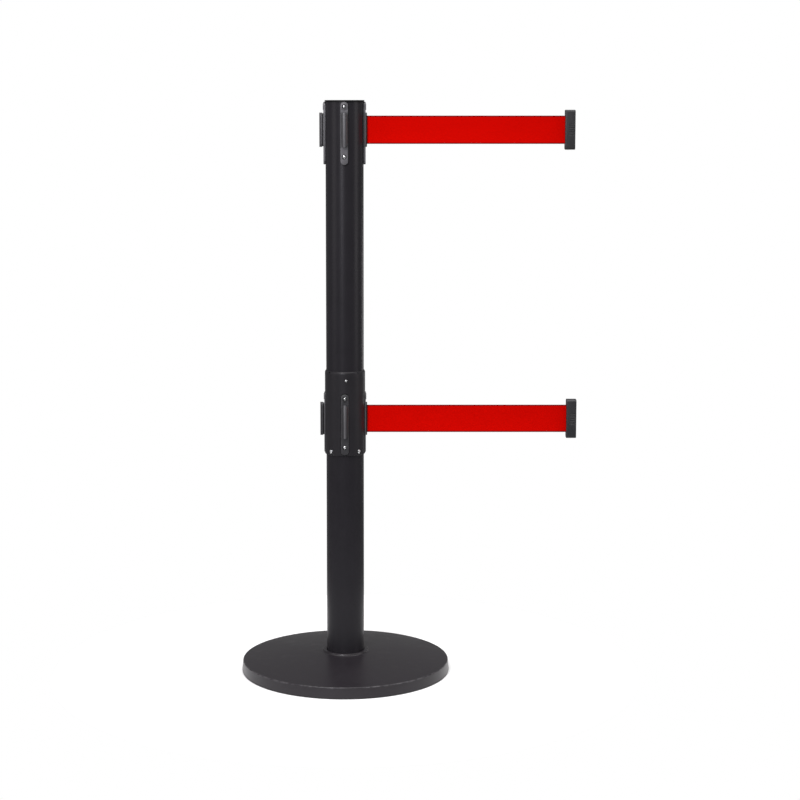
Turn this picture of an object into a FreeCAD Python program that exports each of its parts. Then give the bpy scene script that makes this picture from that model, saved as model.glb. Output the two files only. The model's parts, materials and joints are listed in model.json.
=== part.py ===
"""Twin-belt retractable belt stanchion: a weighted base, a round post, and two belt heads.

Millimetres. The origin is the centre of the footprint on the floor, +Z runs up the post and
+X is the way the belts are drawn out. Azimuths are degrees about +Z, counted from +X.
"""

import FreeCAD, Part
import math
import os

Vector = FreeCAD.Vector
ORIGIN = Vector(0, 0, 0)
UP = Vector(0, 0, 1)
OUT = Vector(1, 0, 0)
SIDE = Vector(0, 1, 0)

# Base
BASE_RADIUS = 177.8
RIM_TOP_RADIUS = 176.2
RIM_HEIGHT = 19.6
DOME_HEIGHT = 33.2
COVER_SKIN = 1.5
COVER_LIP_Z = 2.2
NECK_RADIUS = 38.6
NECK_HEIGHT = 36.0
RING_INNER_RADIUS = 150.0
RING_OUTER_RADIUS = 177.2
RING_HEIGHT = 3.0
WEIGHT_RADIUS = 172.0
SEAT_Z = 24.0
SEAT_SKIN = 1.2
BOLT_RADIUS = 6.0
BOLT_HEAD_FLATS = 19.0
BOLT_HEAD_HEIGHT = 7.5
WASHER_THICKNESS = 2.5
RECESS_RADIUS = 22.0
RECESS_TOP_Z = 16.0

# Post
POST_RADIUS = 31.75
POST_WALL = 1.5
POST_TOP_Z = 970.0
POST_INNER = POST_RADIUS - POST_WALL
CAP_RADIUS = 33.1
CAP_THICKNESS = 2.7
PLUG_HEIGHT = 14.0

# Belt heads: the height of each belt's middle, and how far each belt is drawn out at rest
BELT_HEIGHTS = {"upper": 923.7, "lower": 437.0}
BELT_ENDS = {"upper": 367.0, "lower": 374.8}
BELT_WIDTH = 46.8
BELT_THICKNESS = 0.5
BELT_WOUND_LENGTH = 3000.0

# Receiver and exit plates, measured from the post's axis and from the belt's middle
PLATE_WIDTH = 12.5
PLATE_FACE = 35.2
PLATE_BOTTOM = -57.4
PLATE_TOP = 46.2
RAIL_HALF_HEIGHT = 28.4
NECK_WIDTH = 5.0
RAIL_WIDTH = 9.5
RAIL_BACK = 37.2
RAIL_SIDE = 39.0
RAIL_CROWN = 42.0
EXIT_BOSS_FACE = 37.4
EXIT_SLOT_WIDTH = 2.4
SCREW_HEIGHTS = (38.2, -44.4)
SCREW_SEAT = 33.5
SCREW_RADIUS = 1.5
SCREW_HEAD_RADIUS = 2.7
SCREW_HEAD_HEIGHT = 1.6
RECESS_DEPTH = 0.8
RECESS_WIDTH = 0.6
COUNTERBORE_RADIUS = 3.8
SCREW_TIP = 22.0
RECEIVER_AZIMUTHS = {"front": 270.0, "left": 180.0, "back": 90.0}
EXIT_AZIMUTH = 0.0
PLATE_AZIMUTHS = (EXIT_AZIMUTH, *RECEIVER_AZIMUTHS.values())

# Mid sleeve
SLEEVE_RADIUS = 34.0
SLEEVE_INNER = 31.85
SLEEVE_BOTTOM_Z = 377.8
SLEEVE_EDGE_Z = 516.3
SLEEVE_TOP_Z = 520.5
SLEEVE_TOP_RADIUS = 32.4
SLEEVE_FOOT_SCREW_Z = 384.2
SLEEVE_FOOT_AZIMUTHS = (45.0, 135.0, 225.0, 315.0)
SLEEVE_HEAD_SCREW_Z = 505.8
SLEEVE_HEAD_AZIMUTHS = (94.0, 274.0)
SPOT_FACE_RADIUS = 4.2
SPOT_FACE_SEAT = SLEEVE_RADIUS - 0.8
GRUB_Z = 518.2
GRUB_AZIMUTHS = (40.0, 130.0, 220.0, 310.0)
GRUB_RADIUS = 1.6

# Cassette inside the post, heights from the belt's middle
CASSETTE_RADIUS = 29.9
CASSETTE_INNER = 26.4
CASSETTE_BOTTOM = -50.0
CASSETTE_FLOOR = -47.5
CASSETTE_JOINT = 31.0
CASSETTE_LID = 33.5
CASSETTE_TOP = 41.0
BOSS_INNER = 20.5
BOSS_WIDTH = 8.0
LOW_BOSS_TOP = -42.0
LID_BOSS_BOTTOM = 27.0
LID_SCREW_SHANK = 1.2
LID_SCREW_RADIUS = 23.4
LID_SCREW_AZIMUTHS = (45.0, 135.0, 225.0, 315.0)
SHAFT_RADIUS = 4.0
SHAFT_BOTTOM = CASSETTE_BOTTOM + 1.0
SHAFT_BOSS_RADIUS = 9.0
ARBOR_RADIUS = 6.5
ARBOR_BOTTOM = CASSETTE_FLOOR + 3.0
SPOOL_RADIUS = 25.5
SPOOL_HALF = 25.7
FLANGE = 1.5
HUB_RADIUS = 9.0
BUSH_RADIUS = 6.0
BUSH_LENGTH = 10.0
BUSH_FLANGE = 0.8
CUP_BOTTOM = -39.0
CUP_INNER = 23.9
SPRING_BOTTOM = -37.6
SPRING_TOP = -27.4
SPRING_THICKNESS = 0.35
SPRING_TURNS = 6
PIN_RADIUS = 1.25
PIN_DISTANCE = 28.15
PIN_OFFSET = 1.54
PIN_HALF = 27.5
SLOT_HALF_WIDTH = 3.0
SLOT_HALF_HEIGHT = 25.0

# Belt end: a clip whose channel slides down over another post's receiver rail
CLIP_WIDTH = 17.0
CLIP_BACK = 4.0
CLIP_DEPTH = 16.8
CLIP_BOTTOM = -33.0
CLIP_TOP = 33.0
CHANNEL_START = 10.0
CHANNEL_LIP = 15.2
CHANNEL_WIDTH = 10.4
CHANNEL_MOUTH = 5.6
CHANNEL_TOP = 29.6
CHAMBER_END = 8.0
CHAMBER_WIDTH = 8.0
CHAMBER_HALF = 25.0
CLIP_PIN_RADIUS = 1.5
CLIP_PIN_X = 5.4
CLIP_PIN_HALF = 26.9
CLIP_SCREW_HEIGHTS = (-29.2, 29.2)
CLIP_SCREW_RADIUS = 1.2
CLIP_SCREW_HEAD = 2.2
CLIP_SCREW_SEAT = 1.3
CLIP_SCREW_TIP = 9.0

# Clearances, and the radial span of a cutter that goes through a wall
FIT = 0.05
GAP = 0.1
LOOSE = 0.4
INSIDE = 20.0
OUTSIDE = 45.0


# Plain shapes

def cylinder(radius, low, high, x=0.0, y=0.0):
    """A disc or rod along Z from low to high."""
    return Part.makeCylinder(radius, high - low, Vector(x, y, low), UP)


def ring(outer, inner, low, high, x=0.0, y=0.0):
    """A round tube along Z."""
    return cylinder(outer, low, high, x, y).cut(cylinder(inner, low, high, x, y))


def rod_out(radius, start, end, height):
    """A rod along +X from start to end at a height on the axis."""
    return Part.makeCylinder(radius, end - start, Vector(start, 0, height), OUT)


def block(x_range, y_range, z_range):
    """A box between pairs of coordinates."""
    size = [high - low for low, high in (x_range, y_range, z_range)]
    return Part.makeBox(*size, Vector(x_range[0], y_range[0], z_range[0]))


def pill(width, low, high, start, end):
    """A plate with half-round ends, upright in the YZ plane, from x = start to end."""
    half = width / 2
    corners = [Vector(start, -half, low + half), Vector(start, half, low + half)]
    corners += [Vector(start, half, high - half), Vector(start, -half, high - half)]
    foot = Part.Arc(corners[1], Vector(start, 0, low), corners[0])
    head = Part.Arc(corners[3], Vector(start, 0, high), corners[2])
    edges = [foot.toShape(), Part.makeLine(corners[0], corners[3])]
    edges += [head.toShape(), Part.makeLine(corners[2], corners[1])]
    face = Part.Face(Part.Wire(edges))
    return face.extrude(Vector(end - start, 0, 0))


def outline_xz(points):
    """A closed wire through (radius, height) points; a three-item entry is an arc through a point."""
    edges = []
    last = Vector(points[0][0], 0, points[0][1])
    for point in points[1:] + points[:1]:
        here = Vector(point[0], 0, point[1])
        if len(point) == 3:
            middle = Vector(point[2][0], 0, point[2][1])
            edges.append(Part.Arc(last, middle, here).toShape())
        else:
            edges.append(Part.makeLine(last, here))
        last = here
    return Part.Wire(edges)


def turned_solid(points):
    """A solid of revolution about Z from an outline."""
    return Part.Face(outline_xz(points)).revolve(ORIGIN, UP, 360)


def at_azimuth(shape, azimuth, height=0.0):
    """A copy turned about Z to an azimuth and raised."""
    copy = shape.copy()
    copy.rotate(ORIGIN, UP, azimuth)
    copy.translate(Vector(0, 0, height))
    return copy


def fused(shapes):
    """One solid out of pieces that touch."""
    whole = shapes[0]
    for shape in shapes[1:]:
        whole = whole.fuse(shape)
    return whole.removeSplitter()


def cut_all(shape, tools):
    """The shape with every tool cut out of it."""
    for tool in tools:
        shape = shape.cut(tool)
    return shape


def face_edges(shape, x):
    """The edges that lie wholly at one x."""
    return [edge for edge in shape.Edges
            if all(abs(vertex.X - x) < FIT for vertex in edge.Vertexes)
            and abs(edge.CenterOfMass.x - x) < FIT]


# Screws

def cross_recess(head_end, size):
    """The cross sunk in a screw head that faces +X."""
    x_range = (head_end - RECESS_DEPTH, head_end + 1)
    arms = [(size, RECESS_WIDTH), (RECESS_WIDTH, size)]
    return [block(x_range, (-y / 2, y / 2), (-z / 2, z / 2)) for y, z in arms]


def pan_screw(seat, tip, head_radius=SCREW_HEAD_RADIUS, head_height=SCREW_HEAD_HEIGHT, radius=SCREW_RADIUS):
    """A cross-head screw along X, its head standing out from x = seat."""
    end = seat + head_height
    head = rod_out(head_radius, seat, end, 0)
    head = head.makeFillet(head_height * 0.6, face_edges(head, end))
    return cut_all(head.fuse(rod_out(radius, tip, seat, 0)), cross_recess(end, head_radius))


def grub_screw():
    """A short screw with a hexagon socket, flush in the sleeve's chamfer."""
    body = rod_out(GRUB_RADIUS - FIT, POST_INNER, SLEEVE_RADIUS - 1.1, 0)
    socket = Part.makePolygon([Vector(32.0, 0.9 * math.cos(math.radians(60 * i)),
                                      0.9 * math.sin(math.radians(60 * i))) for i in range(7)])
    return body.cut(Part.Face(socket).extrude(Vector(2, 0, 0)))


def upright_screw(seat_z, tip_z, radius, head_radius, x, y):
    """A small cheese-head screw along Z, its head above seat_z."""
    head = cylinder(head_radius, seat_z, seat_z + 2.0, x, y)
    slot = block((x - head_radius, x + head_radius), (y - 0.35, y + 0.35), (seat_z + 1.2, seat_z + 3))
    return head.fuse(cylinder(radius, tip_z, seat_z, x, y)).cut(slot)


# Base

def base_cover():
    """The pressed steel cover: a rim, a low dome, and a rolled neck that drops to the post's seat."""
    dome_foot = (RIM_TOP_RADIUS - 1.5, RIM_HEIGHT)
    dome_end = (NECK_RADIUS + 2.0, DOME_HEIGHT)
    dome_middle = (110.0, RIM_HEIGHT + (DOME_HEIGHT - RIM_HEIGHT) * 0.56)
    cup = POST_RADIUS + LOOSE
    under = COVER_SKIN
    points = [
        (BASE_RADIUS, COVER_LIP_Z),
        (RIM_TOP_RADIUS, RIM_HEIGHT - 1.5),
        (dome_foot[0], dome_foot[1], (RIM_TOP_RADIUS - 0.45, RIM_HEIGHT - 0.45)),
        (dome_end[0], dome_end[1], dome_middle),
        (NECK_RADIUS, NECK_HEIGHT - 1.2),
        (NECK_RADIUS - 1.2, NECK_HEIGHT, (NECK_RADIUS - 0.35, NECK_HEIGHT - 0.35)),
        (cup + 1.0, NECK_HEIGHT),
        (cup, NECK_HEIGHT - 1.0, (cup + 0.3, NECK_HEIGHT - 0.3)),
        (cup, SEAT_Z + SEAT_SKIN),
        (BOLT_RADIUS + 1.0, SEAT_Z + SEAT_SKIN),
        (BOLT_RADIUS + 1.0, SEAT_Z),
        (cup + SEAT_SKIN, SEAT_Z),
        (cup + SEAT_SKIN, NECK_HEIGHT - under),
        (NECK_RADIUS - under, NECK_HEIGHT - under),
        (dome_end[0], dome_end[1] - under),
        (dome_foot[0] - 1.0, dome_foot[1] - under, (dome_middle[0], dome_middle[1] - under)),
        (RIM_TOP_RADIUS - 1.8, RIM_HEIGHT - 3.5),
        (BASE_RADIUS - 1.5, COVER_LIP_Z),
    ]
    return turned_solid(points)


def base_weight():
    """The cast iron disc: sloped on top, with a recess beneath for the bolt."""
    points = [
        (BOLT_RADIUS + 0.5, RECESS_TOP_Z),
        (RECESS_RADIUS, RECESS_TOP_Z),
        (RECESS_RADIUS + 3.0, RING_HEIGHT),
        (WEIGHT_RADIUS, RING_HEIGHT),
        (WEIGHT_RADIUS, 12.0),
        (WEIGHT_RADIUS - 3.0, 14.0),
        (60.0, 19.0),
        (50.0, SEAT_Z),
        (BOLT_RADIUS + 0.5, SEAT_Z),
    ]
    return turned_solid(points)


def floor_ring():
    """The rubber ring that the base stands on, with a step that centres it inside the cover."""
    points = [
        (RING_INNER_RADIUS, 0.0),
        (RING_OUTER_RADIUS - 0.6, 0.0),
        (RING_OUTER_RADIUS, 0.6),
        (RING_OUTER_RADIUS, COVER_LIP_Z - FIT),
        (BASE_RADIUS - 1.9, COVER_LIP_Z - FIT),
        (BASE_RADIUS - 1.9, RING_HEIGHT),
        (RING_INNER_RADIUS, RING_HEIGHT),
    ]
    return turned_solid(points)


def hexagon(flats, low, high):
    """A hexagonal prism along Z."""
    corner = flats / 2 / math.cos(math.radians(30))
    points = [Vector(corner * math.cos(math.radians(60 * i)), corner * math.sin(math.radians(60 * i)), low)
              for i in range(7)]
    return Part.Face(Part.makePolygon(points)).extrude(Vector(0, 0, high - low))


def base_fasteners():
    """The bolt from beneath, its flat washer and its split spring washer."""
    washer_bottom = RECESS_TOP_Z - WASHER_THICKNESS
    spring_bottom = washer_bottom - WASHER_THICKNESS
    head = hexagon(BOLT_HEAD_FLATS, spring_bottom - BOLT_HEAD_HEIGHT, spring_bottom)
    bolt = head.fuse(cylinder(BOLT_RADIUS, spring_bottom, SEAT_Z + SEAT_SKIN + PLUG_HEIGHT - 1.0))
    washer = ring(18.0, BOLT_RADIUS + LOOSE, washer_bottom, RECESS_TOP_Z)
    split = block((0, 20), (-0.6, 0.6), (0, 20))
    split.rotate(ORIGIN, OUT, 12)
    spring = ring(10.5, BOLT_RADIUS + 0.2, spring_bottom, washer_bottom).cut(split)
    return {"base_bolt": bolt, "base_washer": washer, "base_spring_washer": spring}


# Post

def foot_plug():
    """The steel plug in the foot of the post, tapped for the base bolt."""
    low = SEAT_Z + SEAT_SKIN
    plug = ring(POST_INNER - FIT, BOLT_RADIUS + GAP, low, low + PLUG_HEIGHT)
    groove = ring(POST_INNER, POST_INNER - 1.5, low + 5.0, low + 8.0)
    return plug.cut(groove)


def head_openings(height):
    """What is cut through the post for one head: the belt slot and the screw holes."""
    tools = [block((INSIDE, OUTSIDE), (-SLOT_HALF_WIDTH, SLOT_HALF_WIDTH),
                   (height - SLOT_HALF_HEIGHT - 1, height + SLOT_HALF_HEIGHT + 1))]
    for azimuth in PLATE_AZIMUTHS:
        for screw in SCREW_HEIGHTS:
            tools.append(at_azimuth(rod_out(SCREW_RADIUS + GAP, INSIDE, OUTSIDE, 0), azimuth, height + screw))
    return tools


def sleeve_screw_places():
    """(azimuth, height) of each pan screw that holds the sleeve."""
    foot = [(azimuth, SLEEVE_FOOT_SCREW_Z) for azimuth in SLEEVE_FOOT_AZIMUTHS]
    return foot + [(azimuth, SLEEVE_HEAD_SCREW_Z) for azimuth in SLEEVE_HEAD_AZIMUTHS]


def sleeve_holes(radius, start=INSIDE, end=OUTSIDE):
    """A radial hole at each sleeve screw."""
    rod = rod_out(radius, start, end, 0)
    return [at_azimuth(rod, azimuth, height) for azimuth, height in sleeve_screw_places()]


def grub_holes():
    """A radial hole at each grub screw."""
    rod = rod_out(GRUB_RADIUS, INSIDE, OUTSIDE, 0)
    return [at_azimuth(rod, azimuth, GRUB_Z) for azimuth in GRUB_AZIMUTHS]


def post_tube():
    """The powder-coated steel tube, with the openings for both heads and the sleeve's screws."""
    tube = ring(POST_RADIUS, POST_INNER, SEAT_Z + SEAT_SKIN, POST_TOP_Z)
    tools = sleeve_holes(SCREW_RADIUS + GAP)
    tools += grub_holes()
    for height in BELT_HEIGHTS.values():
        tools += head_openings(height)
    return cut_all(tube, tools)


def top_cap():
    """The moulded cap: a flange over the tube's end and a ribbed spigot inside it."""
    top = POST_TOP_Z + CAP_THICKNESS
    spigot = POST_INNER - 0.15
    low = POST_TOP_Z - 4.6
    points = [
        (0.0, POST_TOP_Z),
        (spigot - 2.2, POST_TOP_Z),
        (spigot - 2.2, low),
        (spigot - 0.6, low),
        (spigot, low + 0.8),
        (spigot, POST_TOP_Z),
        (CAP_RADIUS, POST_TOP_Z),
        (CAP_RADIUS, top - 0.9),
        (CAP_RADIUS - 0.9, top, (CAP_RADIUS - 0.26, top - 0.26)),
        (0.0, top),
    ]
    return turned_solid(points)


def mid_sleeve():
    """The sleeve round the lower head, with a window for each plate and seats for its screws."""
    points = [
        (SLEEVE_INNER, SLEEVE_BOTTOM_Z),
        (SLEEVE_RADIUS - 0.5, SLEEVE_BOTTOM_Z),
        (SLEEVE_RADIUS, SLEEVE_BOTTOM_Z + 0.5),
        (SLEEVE_RADIUS, SLEEVE_EDGE_Z),
        (SLEEVE_TOP_RADIUS, SLEEVE_TOP_Z, (SLEEVE_RADIUS - 0.4, SLEEVE_EDGE_Z + 2.3)),
        (SLEEVE_INNER, SLEEVE_TOP_Z),
    ]
    height = BELT_HEIGHTS["lower"]
    window = pill(PLATE_WIDTH + 2 * LOOSE, PLATE_BOTTOM - LOOSE, PLATE_TOP + LOOSE, INSIDE, OUTSIDE)
    tools = [at_azimuth(window, azimuth, height) for azimuth in PLATE_AZIMUTHS]
    tools += sleeve_holes(SCREW_RADIUS + GAP)
    tools += sleeve_holes(SPOT_FACE_RADIUS, start=SPOT_FACE_SEAT)
    return cut_all(turned_solid(points), tools + grub_holes())


def sleeve_screws():
    """The pan screws that hold the sleeve to the post."""
    screw = pan_screw(SPOT_FACE_SEAT, POST_INNER - 1.6, 3.0, 1.9)
    return [at_azimuth(screw, azimuth, height) for azimuth, height in sleeve_screw_places()]


# Plates round each head, made facing +X at height 0

def plate_blank():
    """A plate with half-round ends, hollowed to sit on the post, with its two screw seats."""
    plate = pill(PLATE_WIDTH, PLATE_BOTTOM, PLATE_TOP, 29.0, PLATE_FACE)
    plate = plate.makeFillet(0.9, face_edges(plate, PLATE_FACE))
    top_screw = SCREW_HEIGHTS[0]
    boss = rod_out(PLATE_WIDTH / 2 - 0.8, PLATE_FACE - 0.5, PLATE_FACE + 0.8, top_screw)
    boss = boss.makeFillet(0.5, face_edges(boss, PLATE_FACE + 0.8))
    return plate.fuse(boss).removeSplitter()


def plate_cuts():
    """The post's round and the screws' holes and counterbores."""
    tools = [cylinder(POST_RADIUS + FIT, PLATE_BOTTOM - 1, PLATE_TOP + 1)]
    for height in SCREW_HEIGHTS:
        tools.append(rod_out(SCREW_RADIUS + GAP, INSIDE, OUTSIDE, height))
        tools.append(rod_out(COUNTERBORE_RADIUS, SCREW_SEAT, OUTSIDE, height))
    return tools


def receiver():
    """A receiver plate with its undercut rail, which a belt clip slides down over."""
    neck = pill(NECK_WIDTH, -RAIL_HALF_HEIGHT + 1.0, RAIL_HALF_HEIGHT - 1.0, PLATE_FACE - 1, RAIL_BACK)
    head = pill(RAIL_WIDTH, -RAIL_HALF_HEIGHT, RAIL_HALF_HEIGHT, RAIL_BACK, RAIL_CROWN)
    rise = RAIL_CROWN - RAIL_SIDE
    crown_radius = ((RAIL_WIDTH / 2) ** 2 + rise ** 2) / (2 * rise)
    crown = cylinder(crown_radius, -RAIL_HALF_HEIGHT - 1, RAIL_HALF_HEIGHT + 1, RAIL_CROWN - crown_radius)
    low_part = block((RAIL_BACK - 1, RAIL_SIDE), (-10, 10), (-40, 40))
    head = head.common(crown.fuse(low_part))
    return cut_all(fused([plate_blank(), neck, head]), plate_cuts())


def exit_plate():
    """The plate that the belt leaves through: a raised frame round a narrow slot."""
    boss_width = PLATE_WIDTH - 1.0
    boss = pill(boss_width, -RAIL_HALF_HEIGHT, RAIL_HALF_HEIGHT, PLATE_FACE - 1, EXIT_BOSS_FACE)
    boss = boss.makeFillet(1.0, face_edges(boss, EXIT_BOSS_FACE))
    half = EXIT_SLOT_WIDTH / 2
    reach = BELT_WIDTH / 2 + 1.0
    slot = block((INSIDE, OUTSIDE), (-half, half), (-reach, reach))
    return cut_all(fused([plate_blank(), boss]), plate_cuts() + [slot])


def head_screws():
    """The two screws of each of a head's four plates."""
    screw = pan_screw(SCREW_SEAT, SCREW_TIP)
    azimuths = PLATE_AZIMUTHS
    return [at_azimuth(screw, azimuth, height) for azimuth in azimuths for height in SCREW_HEIGHTS]


# Cassette, made at height 0

def screw_bosses(low, high):
    """Four blocks inside the wall that the plates' screws bite into."""
    boss = block((BOSS_INNER, CASSETTE_INNER + 1.0), (-BOSS_WIDTH / 2, BOSS_WIDTH / 2), (low, high))
    boss = boss.common(cylinder(CASSETTE_INNER + 1.0, low, high))
    return [at_azimuth(boss, azimuth) for azimuth in PLATE_AZIMUTHS]


def plate_screw_holes(radius, height):
    """A radial hole at each plate's screw, at one height."""
    rod = rod_out(radius, INSIDE, OUTSIDE, 0)
    return [at_azimuth(rod, azimuth, height) for azimuth in PLATE_AZIMUTHS]


def lid_screw_points():
    """(x, y) of each screw that holds the lid."""
    return [(LID_SCREW_RADIUS * math.cos(math.radians(azimuth)),
             LID_SCREW_RADIUS * math.sin(math.radians(azimuth))) for azimuth in LID_SCREW_AZIMUTHS]


def cassette_body():
    """The moulded pot that holds the spool, with the belt slot and the guide pins' sockets."""
    wall = ring(CASSETTE_RADIUS, CASSETTE_INNER, CASSETTE_BOTTOM, CASSETTE_JOINT)
    floor = cylinder(CASSETTE_RADIUS, CASSETTE_BOTTOM, CASSETTE_FLOOR)
    socket = cylinder(SHAFT_BOSS_RADIUS, CASSETTE_FLOOR, ARBOR_BOTTOM)
    pieces = [wall, floor, socket] + screw_bosses(CASSETTE_FLOOR, LOW_BOSS_TOP)
    pieces += [cylinder(3.4, LID_BOSS_BOTTOM, CASSETTE_JOINT, x, y) for x, y in lid_screw_points()]
    slot = block((INSIDE, OUTSIDE), (-SLOT_HALF_WIDTH, SLOT_HALF_WIDTH), (-SLOT_HALF_HEIGHT, SLOT_HALF_HEIGHT))
    tools = [cylinder(SHAFT_RADIUS + FIT, SHAFT_BOTTOM, CASSETTE_FLOOR + 4.0), slot]
    for side in (-1, 1):
        reach = PIN_HALF + FIT
        tools.append(cylinder(PIN_RADIUS + FIT, -reach, reach, PIN_DISTANCE, side * PIN_OFFSET))
    for x, y in lid_screw_points():
        tools.append(cylinder(LID_SCREW_SHANK + FIT, LID_BOSS_BOTTOM - 1, CASSETTE_JOINT + 1, x, y))
    return cut_all(fused(pieces), tools + plate_screw_holes(SCREW_RADIUS, SCREW_HEIGHTS[1]))


def cassette_lid():
    """The lid that closes the pot and takes the top of the shaft and the plates' upper screws."""
    plate = cylinder(CASSETTE_RADIUS, CASSETTE_JOINT, CASSETTE_LID)
    wall = ring(CASSETTE_RADIUS, CASSETTE_INNER, CASSETTE_LID, CASSETTE_TOP)
    bearing = cylinder(SHAFT_BOSS_RADIUS, CASSETTE_JOINT - 3.8, CASSETTE_JOINT)
    lid = fused([plate, wall, bearing] + screw_bosses(CASSETTE_LID, CASSETTE_TOP))
    tools = [cylinder(SHAFT_RADIUS + FIT, CASSETTE_JOINT - 5, CASSETTE_LID + 1)]
    for x, y in lid_screw_points():
        tools.append(cylinder(LID_SCREW_SHANK + GAP, CASSETTE_JOINT - 1, CASSETTE_LID + 1, x, y))
    return cut_all(lid, tools + plate_screw_holes(SCREW_RADIUS, SCREW_HEIGHTS[0]))


def lid_screws():
    """The four screws that hold the lid on the pot."""
    tip = LID_BOSS_BOTTOM + 0.5
    return [upright_screw(CASSETTE_LID, tip, LID_SCREW_SHANK, 2.4, x, y) for x, y in lid_screw_points()]


def spool_shaft():
    """The fixed shaft; its thick lower end is the arbor that the mainspring winds on."""
    arbor_top = -SPOOL_HALF - BUSH_FLANGE - GAP
    arbor = cylinder(ARBOR_RADIUS, ARBOR_BOTTOM, arbor_top)
    shaft = cylinder(SHAFT_RADIUS, SHAFT_BOTTOM, CASSETTE_LID + 2.5)
    hook_slot = block((0, ARBOR_RADIUS + 1), (-0.4, 0.4), (SPRING_BOTTOM - 1, arbor_top + 1))
    driver_slot = block((-5, 5), (-0.6, 0.6), (CASSETTE_LID + 1.0, CASSETTE_LID + 3))
    return arbor.fuse(shaft).removeSplitter().cut(hook_slot).cut(driver_slot)


def spool_bushes():
    """The two flanged bushes that the spool turns on."""
    low = ring(BUSH_RADIUS - FIT, SHAFT_RADIUS + FIT, -SPOOL_HALF, -SPOOL_HALF + BUSH_LENGTH)
    low = low.fuse(ring(7.6, SHAFT_RADIUS + FIT, -SPOOL_HALF - BUSH_FLANGE, -SPOOL_HALF)).removeSplitter()
    high = low.mirror(ORIGIN, UP)
    return [low, high]


def spool():
    """The moulded spool: a hub, two flanges, and the mainspring's cup beneath."""
    hub = cylinder(HUB_RADIUS, -SPOOL_HALF, SPOOL_HALF)
    top = cylinder(SPOOL_RADIUS, SPOOL_HALF - FLANGE, SPOOL_HALF)
    bottom = cylinder(SPOOL_RADIUS, -SPOOL_HALF, -SPOOL_HALF + FLANGE)
    cup = ring(SPOOL_RADIUS, CUP_INNER, CUP_BOTTOM, -SPOOL_HALF)
    body = fused([hub, top, bottom, cup])
    bore = cylinder(SHAFT_RADIUS + 0.8, -SPOOL_HALF - 1, SPOOL_HALF + 1)
    seats = [cylinder(BUSH_RADIUS, -SPOOL_HALF - 1, -SPOOL_HALF + BUSH_LENGTH),
             cylinder(BUSH_RADIUS, SPOOL_HALF - BUSH_LENGTH, SPOOL_HALF + 1)]
    windows = [at_azimuth(cylinder(4.5, SPOOL_HALF - FLANGE - 1, SPOOL_HALF + 1, 17.0), 60 * i)
               for i in range(6)]
    return cut_all(body, [bore] + seats + windows)


def wound_radius():
    """The outer radius of the belt wound on the hub."""
    return math.sqrt(HUB_RADIUS ** 2 + BELT_WOUND_LENGTH * BELT_THICKNESS / math.pi)


def belt_coil():
    """The belt wound on the spool, as one closed roll."""
    return ring(wound_radius(), HUB_RADIUS + FIT, -BELT_WIDTH / 2, BELT_WIDTH / 2)


def spiral_edge(start, end, turns, height):
    """A smooth spiral in a level plane from one radius to another."""
    steps = 16 * turns
    points = []
    for i in range(steps + 1):
        radius = start + (end - start) * i / steps
        angle = 2 * math.pi * turns * i / steps
        points.append(Vector(radius * math.cos(angle), radius * math.sin(angle), height))
    curve = Part.BSplineCurve()
    curve.interpolate(points)
    return curve.toShape()


def edge_ends(edge):
    """An edge's first and last points."""
    return edge.valueAt(edge.FirstParameter), edge.valueAt(edge.LastParameter)


def strip_face(left, right):
    """The flat face between two edges that run side by side."""
    left_start, left_end = edge_ends(left)
    right_start, right_end = edge_ends(right)
    caps = [Part.makeLine(left_start, right_start), Part.makeLine(left_end, right_end)]
    return Part.Face(Part.Wire(Part.__sortEdges__([left, caps[1], right, caps[0]])))


def mainspring():
    """The flat spiral spring in the spool's cup."""
    start = ARBOR_RADIUS + 1.0
    end = CUP_INNER - 0.6
    inner = spiral_edge(start, end - SPRING_THICKNESS, SPRING_TURNS, SPRING_BOTTOM)
    outer = spiral_edge(start + SPRING_THICKNESS, end, SPRING_TURNS, SPRING_BOTTOM)
    return strip_face(inner, outer).extrude(Vector(0, 0, SPRING_TOP - SPRING_BOTTOM))


def spring_cover():
    """The disc pressed over the cup that keeps the mainspring in."""
    return ring(SPOOL_RADIUS, ARBOR_RADIUS + 0.7, CUP_BOTTOM - 1.2, CUP_BOTTOM)


def guide_pins():
    """The two steel pins that the belt runs between."""
    return [cylinder(PIN_RADIUS, -PIN_HALF, PIN_HALF, PIN_DISTANCE, side * PIN_OFFSET) for side in (-1, 1)]


# Belt and its clip

def belt_route(end_x):
    """The belt's middle line: off the coil, round a guide pin, and straight out to the clip."""
    coil = wound_radius() + BELT_THICKNESS / 2 + GAP
    bend = PIN_OFFSET
    reach = math.hypot(PIN_DISTANCE, PIN_OFFSET)
    angle = math.atan2(PIN_OFFSET, PIN_DISTANCE) + math.acos((coil + bend) / reach)
    leave = Vector(coil * math.cos(angle), coil * math.sin(angle), 0)
    meet = Vector(PIN_DISTANCE - bend * math.cos(angle), PIN_OFFSET - bend * math.sin(angle), 0)
    half = (angle + math.pi + 1.5 * math.pi) / 2
    middle = Vector(PIN_DISTANCE + bend * math.cos(half), PIN_OFFSET + bend * math.sin(half), 0)
    out = Vector(PIN_DISTANCE, 0, 0)
    return [Part.makeLine(leave, meet), Part.Arc(meet, middle, out).toShape(),
            Part.makeLine(out, Vector(end_x, 0, 0))]


def beside(edge, distance):
    """A line or arc parallel to an edge, to the right of its way by a distance."""
    middle_at = (edge.FirstParameter + edge.LastParameter) / 2
    places = (edge.FirstParameter, middle_at, edge.LastParameter)
    start, middle, end = [edge.valueAt(at) + edge.tangentAt(at).cross(UP) * distance for at in places]
    if edge.Curve.TypeId == "Part::GeomLine":
        return Part.makeLine(start, end)
    return Part.Arc(start, middle, end).toShape()


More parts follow.
